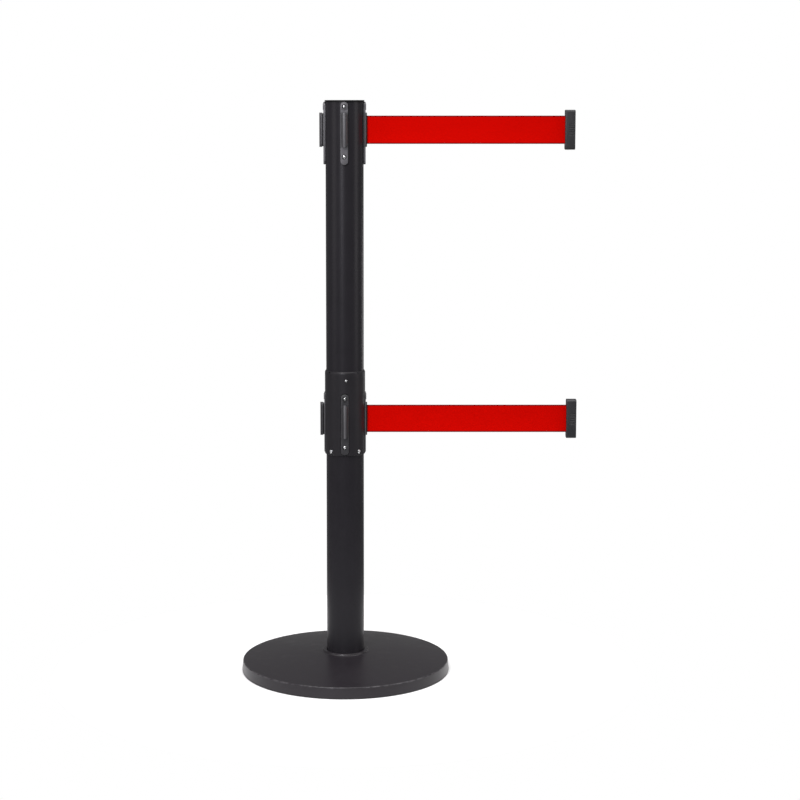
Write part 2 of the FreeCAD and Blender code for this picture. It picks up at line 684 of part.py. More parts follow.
def belt_strip(end_x):
    """The belt's free run, ending in the sewn loop round the clip's pin."""
    pin_x = end_x + CLIP_PIN_X
    half = BELT_THICKNESS / 2
    loop_inner = CLIP_PIN_RADIUS + GAP
    pieces = [ring(loop_inner + BELT_THICKNESS, loop_inner, 0, BELT_WIDTH, pin_x)]
    for edge in belt_route(pin_x - loop_inner - half):
        face = strip_face(beside(edge, half), beside(edge, -half))
        pieces.append(face.extrude(Vector(0, 0, BELT_WIDTH)))
    strip = fused(pieces)
    strip.translate(Vector(0, 0, -BELT_WIDTH / 2))
    return strip


def clip_outline(x_range):
    """A rounded upright block of the clip's section between two x values."""
    half = CLIP_WIDTH / 2
    body = block(x_range, (-half, half), (CLIP_BOTTOM, CLIP_TOP))
    edges = [edge for edge in body.Edges if abs(edge.tangentAt(edge.FirstParameter).x) > 0.9]
    return body.makeFillet(4.0, edges)


def clip_screw_holes(radius, start, end):
    """A hole along X at each of the clip's screws."""
    return [rod_out(radius, start, end, height) for height in CLIP_SCREW_HEIGHTS]


def clip_hollows():
    """The belt chamber and the pin's hole, which run through both halves of the clip."""
    half = CHAMBER_WIDTH / 2
    chamber = block((2.0, CHAMBER_END), (-half, half), (-CHAMBER_HALF, CHAMBER_HALF))
    pin_hole = cylinder(CLIP_PIN_RADIUS + FIT, -CLIP_PIN_HALF - FIT, CLIP_PIN_HALF + FIT, CLIP_PIN_X)
    return [chamber, pin_hole]


def clip_housing():
    """The clip's front: the channel for a receiver rail, open below, and the front of the belt chamber."""
    body = clip_outline((CLIP_BACK, CLIP_DEPTH))
    body = body.makeFillet(1.0, face_edges(body, CLIP_DEPTH))
    z_range = (CLIP_BOTTOM - 1, CHANNEL_TOP)
    channel_half = CHANNEL_WIDTH / 2
    mouth_half = CHANNEL_MOUTH / 2
    channel = block((CHANNEL_START, CHANNEL_LIP), (-channel_half, channel_half), z_range)
    mouth = block((CHANNEL_LIP - 1, CLIP_DEPTH + 1), (-mouth_half, mouth_half), z_range)
    screws = clip_screw_holes(CLIP_SCREW_RADIUS, 0, CLIP_SCREW_TIP)
    return cut_all(body, clip_hollows() + [channel, mouth] + screws)


def clip_back():
    """The clip's back plate, with the slot that the belt enters by."""
    body = clip_outline((0.0, CLIP_BACK - FIT))
    body = body.makeFillet(1.0, face_edges(body, 0.0))
    reach = BELT_WIDTH / 2 + 0.6
    slot = block((-1, CLIP_BACK), (-0.7, 0.7), (-reach, reach))
    screws = clip_screw_holes(CLIP_SCREW_RADIUS + GAP, -1, CLIP_BACK + 1)
    seats = clip_screw_holes(CLIP_SCREW_HEAD + 0.3, -1, CLIP_SCREW_SEAT)
    return cut_all(body, clip_hollows() + [slot] + screws + seats)


def clip_pin():
    """The steel pin that the belt's loop goes round."""
    return cylinder(CLIP_PIN_RADIUS, -CLIP_PIN_HALF, CLIP_PIN_HALF, CLIP_PIN_X)


def clip_screws():
    """The two screws that hold the clip's back to its housing, their heads sunk in the back."""
    screws = []
    for height in CLIP_SCREW_HEIGHTS:
        screw = pan_screw(0.0, CLIP_SCREW_SEAT - CLIP_SCREW_TIP, CLIP_SCREW_HEAD, 1.1, CLIP_SCREW_RADIUS)
        screw.rotate(ORIGIN, UP, 180)
        screw.translate(Vector(CLIP_SCREW_SEAT, 0, height))
        screws.append(screw)
    return screws


# Assembly

def head_nodes(level):
    """Every node of one belt head, at its height and with its belt drawn out."""
    height = BELT_HEIGHTS[level]
    end = BELT_ENDS[level]
    nodes = {
        "exit_plate": [exit_plate()],
        "head_screws": head_screws(),
        "cassette_body": [cassette_body()],
        "cassette_lid": [cassette_lid()],
        "lid_screws": lid_screws(),
        "spool_shaft": [spool_shaft()],
        "spool_bushes": spool_bushes(),
        "spool": [spool()],
        "belt_coil": [belt_coil()],
        "mainspring": [mainspring()],
        "spring_cover": [spring_cover()],
        "guide_pins": guide_pins(),
        "belt": [belt_strip(end)],
    }
    for side, azimuth in RECEIVER_AZIMUTHS.items():
        nodes["receiver_" + side] = [at_azimuth(receiver(), azimuth)]
    clip = {
        "clip_housing": [clip_housing()],
        "clip_back": [clip_back()],
        "clip_pin": [clip_pin()],
        "clip_screws": clip_screws(),
    }
    for shape in [shape for shapes in clip.values() for shape in shapes]:
        shape.translate(Vector(end, 0, 0))
    nodes.update(clip)
    placed = {}
    for name, shapes in nodes.items():
        for shape in shapes:
            shape.translate(Vector(0, 0, height))
        placed[f"{name}_{level}"] = shapes
    return placed


def assembly():
    """Every node of the stanchion: its name and its solids."""
    nodes = {
        "base_cover": [base_cover()],
        "base_weight": [base_weight()],
        "floor_ring": [floor_ring()],
        "foot_plug": [foot_plug()],
        "post_tube": [post_tube()],
        "top_cap": [top_cap()],
        "mid_sleeve": [mid_sleeve()],
        "sleeve_screws": sleeve_screws(),
        "sleeve_grub_screws": [at_azimuth(grub_screw(), azimuth, GRUB_Z) for azimuth in GRUB_AZIMUTHS],
    }
    nodes.update({name: [shape] for name, shape in base_fasteners().items()})
    for level in BELT_HEIGHTS:
        nodes.update(head_nodes(level))
    return nodes


def write_parts():
    """One STEP file for each node."""
    os.makedirs("parts", exist_ok=True)
    for name, shapes in assembly().items():
        solids = [solid for shape in shapes for solid in shape.Solids]
        if not all(solid.isValid() for solid in solids):
            print("not valid:", name)
        whole = solids[0] if len(solids) == 1 else Part.makeCompound(solids)
        whole.exportStep(f"parts/{name}.step")


write_parts()
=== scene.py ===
"""Looks of a twin-belt retractable belt stanchion, built round its fixed frame.

Metres. The origin is the centre of the footprint on the floor, +Z runs up the post and +X is
the way the belts are drawn out. Azimuths are degrees about +Z, counted from +X.
"""

import json
import logging
import math
from dataclasses import dataclass
from enum import Enum
from typing import Any, Callable, Iterable, Mapping, Sequence

import bmesh
import bpy
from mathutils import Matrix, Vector

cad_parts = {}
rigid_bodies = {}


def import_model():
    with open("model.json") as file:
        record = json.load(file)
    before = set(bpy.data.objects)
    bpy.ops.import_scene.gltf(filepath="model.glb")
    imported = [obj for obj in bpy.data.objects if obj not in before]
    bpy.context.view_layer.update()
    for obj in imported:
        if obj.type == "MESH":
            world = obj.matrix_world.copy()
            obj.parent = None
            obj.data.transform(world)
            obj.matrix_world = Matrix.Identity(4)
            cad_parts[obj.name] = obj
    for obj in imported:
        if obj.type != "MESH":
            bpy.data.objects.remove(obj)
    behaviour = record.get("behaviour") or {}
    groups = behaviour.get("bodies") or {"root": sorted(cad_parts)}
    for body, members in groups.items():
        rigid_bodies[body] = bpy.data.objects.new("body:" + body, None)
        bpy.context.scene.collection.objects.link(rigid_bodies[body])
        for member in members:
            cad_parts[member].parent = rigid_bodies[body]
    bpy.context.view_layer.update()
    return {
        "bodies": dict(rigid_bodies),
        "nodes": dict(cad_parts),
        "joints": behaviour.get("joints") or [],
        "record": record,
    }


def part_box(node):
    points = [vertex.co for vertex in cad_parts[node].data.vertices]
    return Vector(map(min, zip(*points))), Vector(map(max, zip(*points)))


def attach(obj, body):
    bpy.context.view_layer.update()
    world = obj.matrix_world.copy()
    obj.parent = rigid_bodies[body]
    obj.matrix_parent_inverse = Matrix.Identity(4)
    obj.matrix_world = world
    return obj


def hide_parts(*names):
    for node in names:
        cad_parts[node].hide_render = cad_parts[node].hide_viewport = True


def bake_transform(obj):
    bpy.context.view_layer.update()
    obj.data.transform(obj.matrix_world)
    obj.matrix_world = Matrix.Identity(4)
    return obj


Point = tuple[float, float, float]
Outline = list[tuple[float, float]]
Colour = tuple[float, float, float]

LOG = logging.getLogger("stanchion")
MM = 0.001
FULL_TURN = math.tau
RIGHT_ANGLE = math.pi / 2
SMOOTH_ANGLE = math.radians(32)
WELD = 1e-6


class Body(Enum):
    """The bodies of the frame that a piece may ride on."""

    STAND = "stand"
    BELT_END = "belt_end_{}"
    SPOOL_UNIT = "spool_unit_{}"

    def at(self, level: "Level | None" = None) -> str:
        """The body's name at a belt level."""
        return self.value.format(level.value) if level else self.value


class Level(Enum):
    """The two belt heads."""

    UPPER = "upper"
    LOWER = "lower"


class Way(Enum):
    """Which way each plate of a head faces, in degrees of azimuth."""

    EXIT = 0.0
    BACK = 90.0
    LEFT = 180.0
    FRONT = 270.0


# Shader graphs

class Value:
    """A number socket of a node tree, whose arithmetic adds Math nodes."""

    def __init__(self, graph: "Graph", socket: bpy.types.NodeSocket) -> None:
        """Wraps an output socket of the graph's tree."""
        self.graph = graph
        self.socket = socket

    def __add__(self, other: "Value | float") -> "Value":
        """Adds a value or a number."""
        return self.graph.math("ADD", self, other)

    __radd__ = __add__

    def __mul__(self, other: "Value | float") -> "Value":
        """Multiplies by a value or a number."""
        return self.graph.math("MULTIPLY", self, other)

    __rmul__ = __mul__

    def __sub__(self, other: "Value | float") -> "Value":
        """Takes a value or a number away."""
        return self.graph.math("SUBTRACT", self, other)

    def __rsub__(self, other: float) -> "Value":
        """Is taken away from a number."""
        return self.graph.math("SUBTRACT", other, self)

    def __pow__(self, other: float) -> "Value":
        """Raises to a power."""
        return self.graph.math("POWER", self, other)

    def __abs__(self) -> "Value":
        """Drops the sign."""
        return self.graph.math("ABSOLUTE", self)

    def sine(self) -> "Value":
        """The sine of the value, in radians."""
        return self.graph.math("SINE", self)

    def ramp(self, low: float, high: float) -> "Value":
        """Rises smoothly between two numbers, or falls where the second is the lower.

        Args:
            low: where the ramp is 0.
            high: where it is 1.

        Returns:
            The ramp, from 0 to 1.
        """
        sockets = {"Value": self, "From Min": low, "From Max": high}
        node = self.graph.node("ShaderNodeMapRange", {"interpolation_type": "SMOOTHSTEP"}, sockets)
        return Value(self.graph, node.outputs["Result"])


class Graph:
    """The node tree of one material, with its Principled shader."""

    def __init__(self, name: str) -> None:
        """Makes a material with an empty Principled shader.

        Args:
            name: the material's name.
        """
        self.material = bpy.data.materials.new(name)
        self.material.use_nodes = True
        self.tree = self.material.node_tree
        self.shader = self.tree.nodes["Principled BSDF"]
        self.place = self.node("ShaderNodeTexCoord").outputs["Object"]

    def node(
        self,
        kind: str,
        settings: Mapping[str, Any] | None = None,
        sockets: Mapping[str | int, Any] | None = None,
    ) -> bpy.types.Node:
        """Adds a node.

        Args:
            kind: the node's type.
            settings: the node's own properties, which are set first.
            sockets: values, numbers or links by the input's name or index.

        Returns:
            The new node.
        """
        made = self.tree.nodes.new(kind)
        for name, setting in (settings or {}).items():
            setattr(made, name, setting)
        for key, source in (sockets or {}).items():
            self.feed(made.inputs[key], source)
        return made

    def feed(self, socket: bpy.types.NodeSocket, source: Any) -> None:
        """Links a source to an input, or sets the input's own value.

        Args:
            socket: the input.
            source: a Value, an output socket or a plain value.
        """
        if isinstance(source, Value):
            source = source.socket
        if isinstance(source, bpy.types.NodeSocket):
            self.tree.links.new(source, socket)
        else:
            socket.default_value = source

    def math(self, operation: str, first: Any, second: Any = 0.0) -> Value:
        """A Math node's result."""
        node = self.node("ShaderNodeMath", {"operation": operation}, {0: first, 1: second})
        return Value(self, node.outputs[0])

    def axes(self) -> tuple[Value, Value, Value]:
        """The object coordinates, one value for each axis."""
        split = self.node("ShaderNodeSeparateXYZ", sockets={"Vector": self.place})
        return tuple(Value(self, split.outputs[axis]) for axis in "XYZ")

    def noise(self, size: float, detail: float = 2.0, stretch: Point = (1.0, 1.0, 1.0)) -> Value:
        """Soft noise from 0 to 1.

        Args:
            size: the size of a spot, in metres.
            detail: how many finer layers it has.
            stretch: how much longer a spot is along each axis.

        Returns:
            The noise.
        """
        scale = tuple(1.0 / length for length in stretch)
        mapped = self.node("ShaderNodeMapping", sockets={"Vector": self.place, "Scale": scale})
        sockets = {"Vector": mapped.outputs["Vector"], "Scale": 1.0 / size, "Detail": detail}
        return Value(self, self.node("ShaderNodeTexNoise", sockets=sockets).outputs["Fac"])

    def cells(self, size: float) -> Value:
        """The distance to the nearest grain, for pitted and spark-eroded surfaces."""
        sockets = {"Vector": self.place, "Scale": 1.0 / size}
        return Value(self, self.node("ShaderNodeTexVoronoi", sockets=sockets).outputs["Distance"])

    def mix(self, share: Value, plain: Any, other: Any) -> bpy.types.NodeSocket:
        """A colour between two.

        Args:
            share: 0 for the first colour, 1 for the second.
            plain: the first colour, or its socket.
            other: the second colour, or its socket.

        Returns:
            The mixed colour's socket.
        """
        ends = [(*end, 1.0) if isinstance(end, tuple) else end for end in (plain, other)]
        node = self.node("ShaderNodeMix", {"data_type": "RGBA"}, {0: share, 6: ends[0], 7: ends[1]})
        return node.outputs[2]

    def dress(self, colour: Any, roughness: Any, height: Value, depth: float) -> None:
        """Feeds the shader's varying sockets.

        Args:
            colour: the base colour's socket.
            roughness: the roughness.
            height: the relief, from 0 to 1.
            depth: the depth of the relief, in metres.
        """
        bump = self.node("ShaderNodeBump", sockets={"Height": height, "Distance": depth})
        self.feed(self.shader.inputs["Base Color"], colour)
        self.feed(self.shader.inputs["Roughness"], roughness)
        self.feed(self.shader.inputs["Normal"], bump.outputs["Normal"])

    def fix(self, **settings: float) -> None:
        """Sets the shader's own sockets, named with underscores for spaces."""
        for name, setting in settings.items():
            self.shader.inputs[name.replace("_", " ")].default_value = setting


def shade(colour: Colour, share: float) -> Colour:
    """A colour made darker or lighter by a share."""
    return tuple(channel * share for channel in colour)


def head_height(level: Level) -> float:
    """The height of the middle of a level's belt."""
    low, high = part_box(f"belt_{level.value}")
    return (low.z + high.z) / 2


# Finishes

@dataclass(frozen=True)
class Finish:
    """A recipe for one material, which each kind of finish fills in."""

    name: str

    def material(self) -> bpy.types.Material:
        """Builds the material.

        Returns:
            The material, under the finish's name.
        """
        graph = Graph(self.name)
        self.paint(graph)
        return graph.material

    def paint(self, graph: Graph) -> None:
        """Lays the finish on an empty graph."""
        raise NotImplementedError


@dataclass(frozen=True)
class PowderCoat(Finish):
    """Baked powder coat on steel: orange peel, faint mottling, handling marks, and a paler rim edge that is
    wear from rubbing and a painted highlight.
    """

    colour: Colour
    roughness: float
    peel_size: float
    peel_depth: float
    # Where the paler rim edge lies: wear and a painted highlight.
    wear_and_highlight_radius: float = 0.0
    wear_and_highlight_height: float = 0.0
    wear_and_highlight_colour: Colour = (0.12, 0.115, 0.12)
    gloss: float = 0.22

    def paint(self, graph: Graph) -> None:
        """Lays on the peel, the mottle, the marks and the specks.

        Args:
            graph: the material's graph.
        """
        graph.fix(Specular_IOR_Level=self.gloss)
        peel = graph.noise(self.peel_size, 3.0)
        mottle = graph.noise(38 * MM, 3.0)
        marks = graph.noise(22 * MM, 5.0, (1.0, 1.0, 6.0)).ramp(0.5, 0.75)
        speck = graph.noise(self.peel_size * 0.6, 1.0).ramp(0.45, 0.8)
        colour = graph.mix(mottle, shade(self.colour, 0.86), shade(self.colour, 1.12))
        colour = graph.mix(speck * 0.35, colour, shade(self.colour, 1.5))
        if self.wear_and_highlight_radius:
            # Paler rim edge: wear from rubbing and a painted highlight on the crease.
            colour = graph.mix(self._wear_and_highlight(graph), colour, self.wear_and_highlight_colour)
        roughness = self.roughness + 0.1 * mottle - 0.05 * marks
        graph.dress(colour, roughness, peel, self.peel_depth)

    def _wear_and_highlight(self, graph: Graph) -> Value:
        """A paler band on the rim's upper edge: wear from feet and floor machines, and a painted highlight
        on the crease.

        Args:
            graph: the material's graph.

        Returns:
            The mask, from 0 to a faint share.
        """
        x, y, z = graph.axes()
        radius = (x * x + y * y) ** 0.5
        band = abs(radius - self.wear_and_highlight_radius).ramp(1.9 * MM, 0.2 * MM)
        level = abs(z - self.wear_and_highlight_height).ramp(2.4 * MM, 0.4 * MM)
        broken = graph.noise(7 * MM, 4.0).ramp(0.42, 0.62)
        return band * level * broken * 0.4


@dataclass(frozen=True)
class MouldedPlastic(Finish):
    """Injection-moulded plastic: a spark-eroded grain, and a slight flow mottle."""

    colour: Colour
    roughness: float
    gloss: float = 0.5
    grain_size: float = 0.35 * MM
    grain_depth: float = 0.02 * MM

    def paint(self, graph: Graph) -> None:
        """Lays on the grain, the flow mottle and the wear.

        Args:
            graph: the material's graph.
        """
        graph.fix(Specular_IOR_Level=self.gloss)
        grain = graph.cells(self.grain_size)
        flow = graph.noise(9 * MM, 2.0, (1.0, 1.0, 3.0))
        paled = graph.noise(2.2 * MM, 4.0).ramp(0.6, 0.78)
        colour = graph.mix(flow, shade(self.colour, 0.85), shade(self.colour, 1.15))
        colour = graph.mix(paled * 0.3, colour, shade(self.colour, 1.7))
        colour = self.overpainted(graph, colour)
        graph.dress(colour, self.roughness + 0.12 * flow, grain, self.grain_depth)

    def overpainted(self, graph: Graph, colour: bpy.types.NodeSocket) -> bpy.types.NodeSocket:
        """What is painted over the colour; nothing on a plain moulding.

        Args:
            graph: the material's graph.
            colour: the moulding's own colour.

        Returns:
            The colour's socket.
        """
        return colour


@dataclass(frozen=True)
class HandledPlastic(MouldedPlastic):
    """A belt head's plastic, with light and shade painted on: paler plate edges and rail crowns (wear from
    the clips and a painted highlight), painted light high up and painted shade in its gaps.
    """

    # Paler edges and crowns: wear from the clips and a painted highlight.
    wear_and_highlight_colour: Colour = (0.15, 0.148, 0.155)
    # Painted light: the paler tone that the plastic takes high up.
    painted_height_light_colour: Colour = (0.085, 0.083, 0.089)
    # Painted shade: the near-black of the gaps and the screw wells.
    painted_shade_colour: Colour = (0.002, 0.002, 0.002)
    edge_start: float = 34.3 * MM
    edge_end: float = 35.1 * MM
    crown_start: float = 41.6 * MM
    crown_end: float = 42.0 * MM
    # The painted shade reaches out from the tube to here.
    painted_shade_end: float = 32.7 * MM
    rail_back: float = 37.1 * MM
    rail_half: float = 28.4 * MM
    well_half: float = 4.1 * MM
    heads: tuple[float, ...] = ()
    # The heights over which the painted light comes in.
    height_light_start: float = 0.6
    height_light_full: float = 0.75

    def overpainted(self, graph: Graph, colour: bpy.types.NodeSocket) -> bpy.types.NodeSocket:
        """Paints light and shade into the colour by the distance from the tube and the height.

        Args:
            graph: the material's graph.
            colour: the moulding's own colour.

        Returns:
            The colour's socket.
        """
        x, y, z = graph.axes()
        out = graph.math("MAXIMUM", abs(x), abs(y))
        fine = graph.noise(1.5 * MM, 3.0)
        by_rail = 0.0
        for height in self.heads:
            past = abs(z - height)
            by_rail = past.ramp(self.rail_half + 0.8 * MM, self.rail_half - 0.2 * MM) + by_rail
        # Painted light: paler high up, less so beside the rails.
        height_light = z.ramp(self.height_light_start, self.height_light_full)
        height_lit = graph.mix(height_light * (1 - 0.85 * by_rail), colour, self.painted_height_light_colour)
        # Painted highlight on the plates' face edges and the rails' crowns, with some wear from the clips.
        rise = out.ramp(self.edge_start - 0.3 * MM, self.edge_start)
        edge = rise * out.ramp(self.edge_end, self.edge_end - 0.2 * MM)
        crown = out.ramp(self.crown_start, self.crown_end)
        edge_wear_and_highlight = graph.math("MAXIMUM", edge, crown) * (0.35 + 0.5 * fine)
        paled = graph.mix(edge_wear_and_highlight, height_lit, self.wear_and_highlight_colour)
        # Painted shade: near-black in the rails' necks, where the plates meet the tube, and in the screw
        # wells.
        above_plate = out.ramp(self.edge_end + 0.1 * MM, self.edge_end + 0.3 * MM)
        neck = above_plate * out.ramp(self.rail_back + 0.1 * MM, self.rail_back)
        by_tube = out.ramp(self.painted_shade_end, self.painted_shade_end - 0.5 * MM)
        gap = graph.math("MAXIMUM", neck * by_rail, by_tube)
        beside = graph.math("MINIMUM", abs(x), abs(y)).ramp(self.well_half + 0.3 * MM, self.well_half)
        well = beside * out.ramp(self.edge_end, self.edge_end - 0.3 * MM)
        return graph.mix(graph.math("MAXIMUM", gap, well), paled, self.painted_shade_colour)


@dataclass(frozen=True)
class PlatedSteel(Finish):
    """Turned or pressed steel, bright or blackened: fine drawn lines and a little staining."""

    colour: Colour
    stain: Colour
    roughness: float
    line_size: float = 0.12 * MM
    lines_run: Point = (1.0, 1.0, 12.0)

    def paint(self, graph: Graph) -> None:
        """Lays on the drawn lines and the stains.

        Args:
            graph: the material's graph.
        """
        graph.fix(Metallic=1.0)
        lines = graph.noise(self.line_size, 2.0, self.lines_run)
        stain = graph.noise(3.5 * MM, 4.0).ramp(0.52, 0.8)
        colour = graph.mix(stain * 0.5, self.colour, self.stain)
        graph.dress(colour, self.roughness + 0.16 * stain, lines, 0.004 * MM)


@dataclass(frozen=True)
class RoughCasting(Finish):
    """Sand-cast iron under a thin dip of black paint."""

    name: str = "cast_iron"
    colour: Colour = (0.045, 0.043, 0.042)
    rust: Colour = (0.11, 0.045, 0.02)

    def paint(self, graph: Graph) -> None:
        """Lays on the sand's print and the blotches of rust.

        Args:
            graph: the material's graph.
        """
        sand = graph.noise(1.6 * MM, 6.0)
        blotch = graph.noise(25 * MM, 5.0).ramp(0.6, 0.8)
        colour = graph.mix(sand, shade(self.colour, 0.7), shade(self.colour, 1.3))
        colour = graph.mix(blotch * 0.6, colour, self.rust)
        graph.dress(colour, 0.62 + 0.2 * sand, sand, 0.5 * MM)


@dataclass(frozen=True)
class Rubber(Finish):
    """Black moulded rubber with a dusty bloom."""

    name: str = "rubber"
    colour: Colour = (0.014, 0.014, 0.014)
    bloom: Colour = (0.06, 0.058, 0.055)

    def paint(self, graph: Graph) -> None:
        """Lays on the skin and the dust.

        Args:
            graph: the material's graph.
        """
        skin = graph.noise(0.5 * MM, 3.0)
        dust = graph.noise(12 * MM, 4.0).ramp(0.45, 0.75)
        colour = graph.mix(dust * 0.35, self.colour, self.bloom)
        graph.dress(colour, 0.72 + 0.15 * dust, skin, 0.05 * MM)


@dataclass(frozen=True)
class Webbing(Finish):
    """Plain-woven polyester belt: warp along X, weft across, painted shade in the weave's hollows, and
    darker along both edges.
    """

    middle: float
    half_width: float
    colour: Colour = (0.57, 0.0018, 0.0003)
    edge_colour: Colour = (0.17, 0.002, 0.0028)
    warp_pitch: float = 0.62 * MM
    weft_pitch: float = 0.85 * MM
    selvedge: float = 2.4 * MM

    def paint(self, graph: Graph) -> None:
        """Lays on the weave with painted shade in its hollows, the dye and the darker edges.

        Args:
            graph: the material's graph.
        """
        graph.fix(Specular_IOR_Level=0.01)
        x, _, z = graph.axes()
        across = z - self.middle
        warp = (across * (FULL_TURN / self.warp_pitch)).sine()
        weft = (x * (FULL_TURN / self.weft_pitch)).sine()
        weave = 0.5 + 0.5 * (warp * weft)
        ribs = abs((across * (math.pi / self.warp_pitch)).sine())
        edge = abs(across).ramp(self.half_width - self.selvedge, self.half_width - 0.6 * self.selvedge)
        yarn = graph.noise(0.5 * MM, 3.0, (8.0, 1.0, 1.0))
        dye = graph.noise(30 * MM, 2.0, (3.0, 1.0, 0.6))
        colour = graph.mix(dye, shade(self.colour, 0.94), shade(self.colour, 1.06))
        # Painted shade: darker where the weave is low.
        colour = graph.mix((1 - weave) * 0.22, colour, shade(self.colour, 0.72))
        # Darker along both edges of the belt.
        colour = graph.mix(edge, colour, self.edge_colour)
        relief = 0.6 * weave + 0.25 * ribs + 0.15 * yarn
        graph.dress(colour, 0.78 + 0.12 * yarn, relief, 0.09 * MM)


def mixed_finishes() -> dict[str, bpy.types.Material]:
    """Mixes one material of each finish, but for the belts, whose weave is set out on each belt.

    Returns:
        The materials, by the name of their slot.
    """
    coats = [
        PowderCoat(
            "base_coat", (0.0145, 0.0122, 0.015), 0.3, 0.8 * MM, 0.04 * MM, 175.4 * MM, 19.2 * MM, gloss=0.36
        ),
        PowderCoat("post_coat", (0.0152, 0.0141, 0.0168), 0.28, 1.3 * MM, 0.012 * MM, gloss=0.17),
        PowderCoat("sleeve_coat", (0.0156, 0.0145, 0.0168), 0.36, 1.1 * MM, 0.014 * MM),
    ]
    heads = tuple(head_height(level) for level in Level)
    plastics = [
        MouldedPlastic("cap_plastic", (0.006, 0.006, 0.0065), 0.42, 0.12),
        HandledPlastic("receiver_plastic", (0.026, 0.0255, 0.028), 0.33, heads=heads),
        MouldedPlastic("clip_plastic", (0.018, 0.018, 0.02), 0.4),
        MouldedPlastic("inner_plastic", (0.03, 0.03, 0.031), 0.5),
        MouldedPlastic("bush_plastic", (0.74, 0.73, 0.69), 0.35),
    ]
    metals = [
        PlatedSteel("zinc_steel", (0.8, 0.81, 0.82), (0.5, 0.49, 0.46), 0.2),
        PlatedSteel("black_screw", (0.05, 0.05, 0.055), (0.1, 0.09, 0.08), 0.36),
        PlatedSteel("spring_steel", (0.34, 0.33, 0.36), (0.3, 0.2, 0.12), 0.28, 0.3 * MM),
        RoughCasting(),
    ]
    return {finish.name: finish.material() for finish in (*coats, *plastics, *metals, Rubber())}


# Modelling

def arc(centre: tuple[float, float], radius: float, start: float, end: float, steps: int) -> Outline:
    """Points along a round stretch.

    Args:
        centre: the arc's centre.
        radius: its radius.
        start: the first point's angle, in degrees.
        end: the last point's angle, in degrees.
        steps: how many chords it has.

    Returns:
        The points, from start to end.
    """
    angles = [math.radians(start + (end - start) * step / steps) for step in range(steps + 1)]
    return [(centre[0] + radius * math.cos(a), centre[1] + radius * math.sin(a)) for a in angles]


def arc_through(start: tuple[float, float], middle: tuple[float, float], end: tuple[float, float],
                steps: int) -> Outline:
    """Points along the arc that passes through three points.

    Args:
        start: the first point.
        middle: a point on the way.
        end: the last point.
        steps: how many chords it has.

    Returns:
        The points, from start to end.
    """
    (ax, ay), (bx, by), (cx, cy) = start, middle, end
    twice_area = 2 * (ax * (by - cy) + bx * (cy - ay) + cx * (ay - by))
    squares = [px * px + py * py for px, py in (start, middle, end)]
    x = (squares[0] * (by - cy) + squares[1] * (cy - ay) + squares[2] * (ay - by)) / twice_area
    y = (squares[0] * (cx - bx) + squares[1] * (ax - cx) + squares[2] * (bx - ax)) / twice_area
    first, last = (math.degrees(math.atan2(py - y, px - x)) for px, py in (start, end))
    return arc((x, y), math.hypot(ax - x, ay - y), first, last, steps)


def pill_outline(width: float, low: float, high: float, steps: int = 14) -> Outline:
    """An upright slot shape with half-round ends.

    Args:
        width: across the slot.
        low: the lowest point.
        high: the highest point.
        steps: chords in each half-round end.

    Returns:
        Its (y, z) points, anticlockwise.
    """
    half = width / 2
    return arc((0, low + half), half, 180, 360, steps) + arc((0, high - half), half, 0, 180, steps)


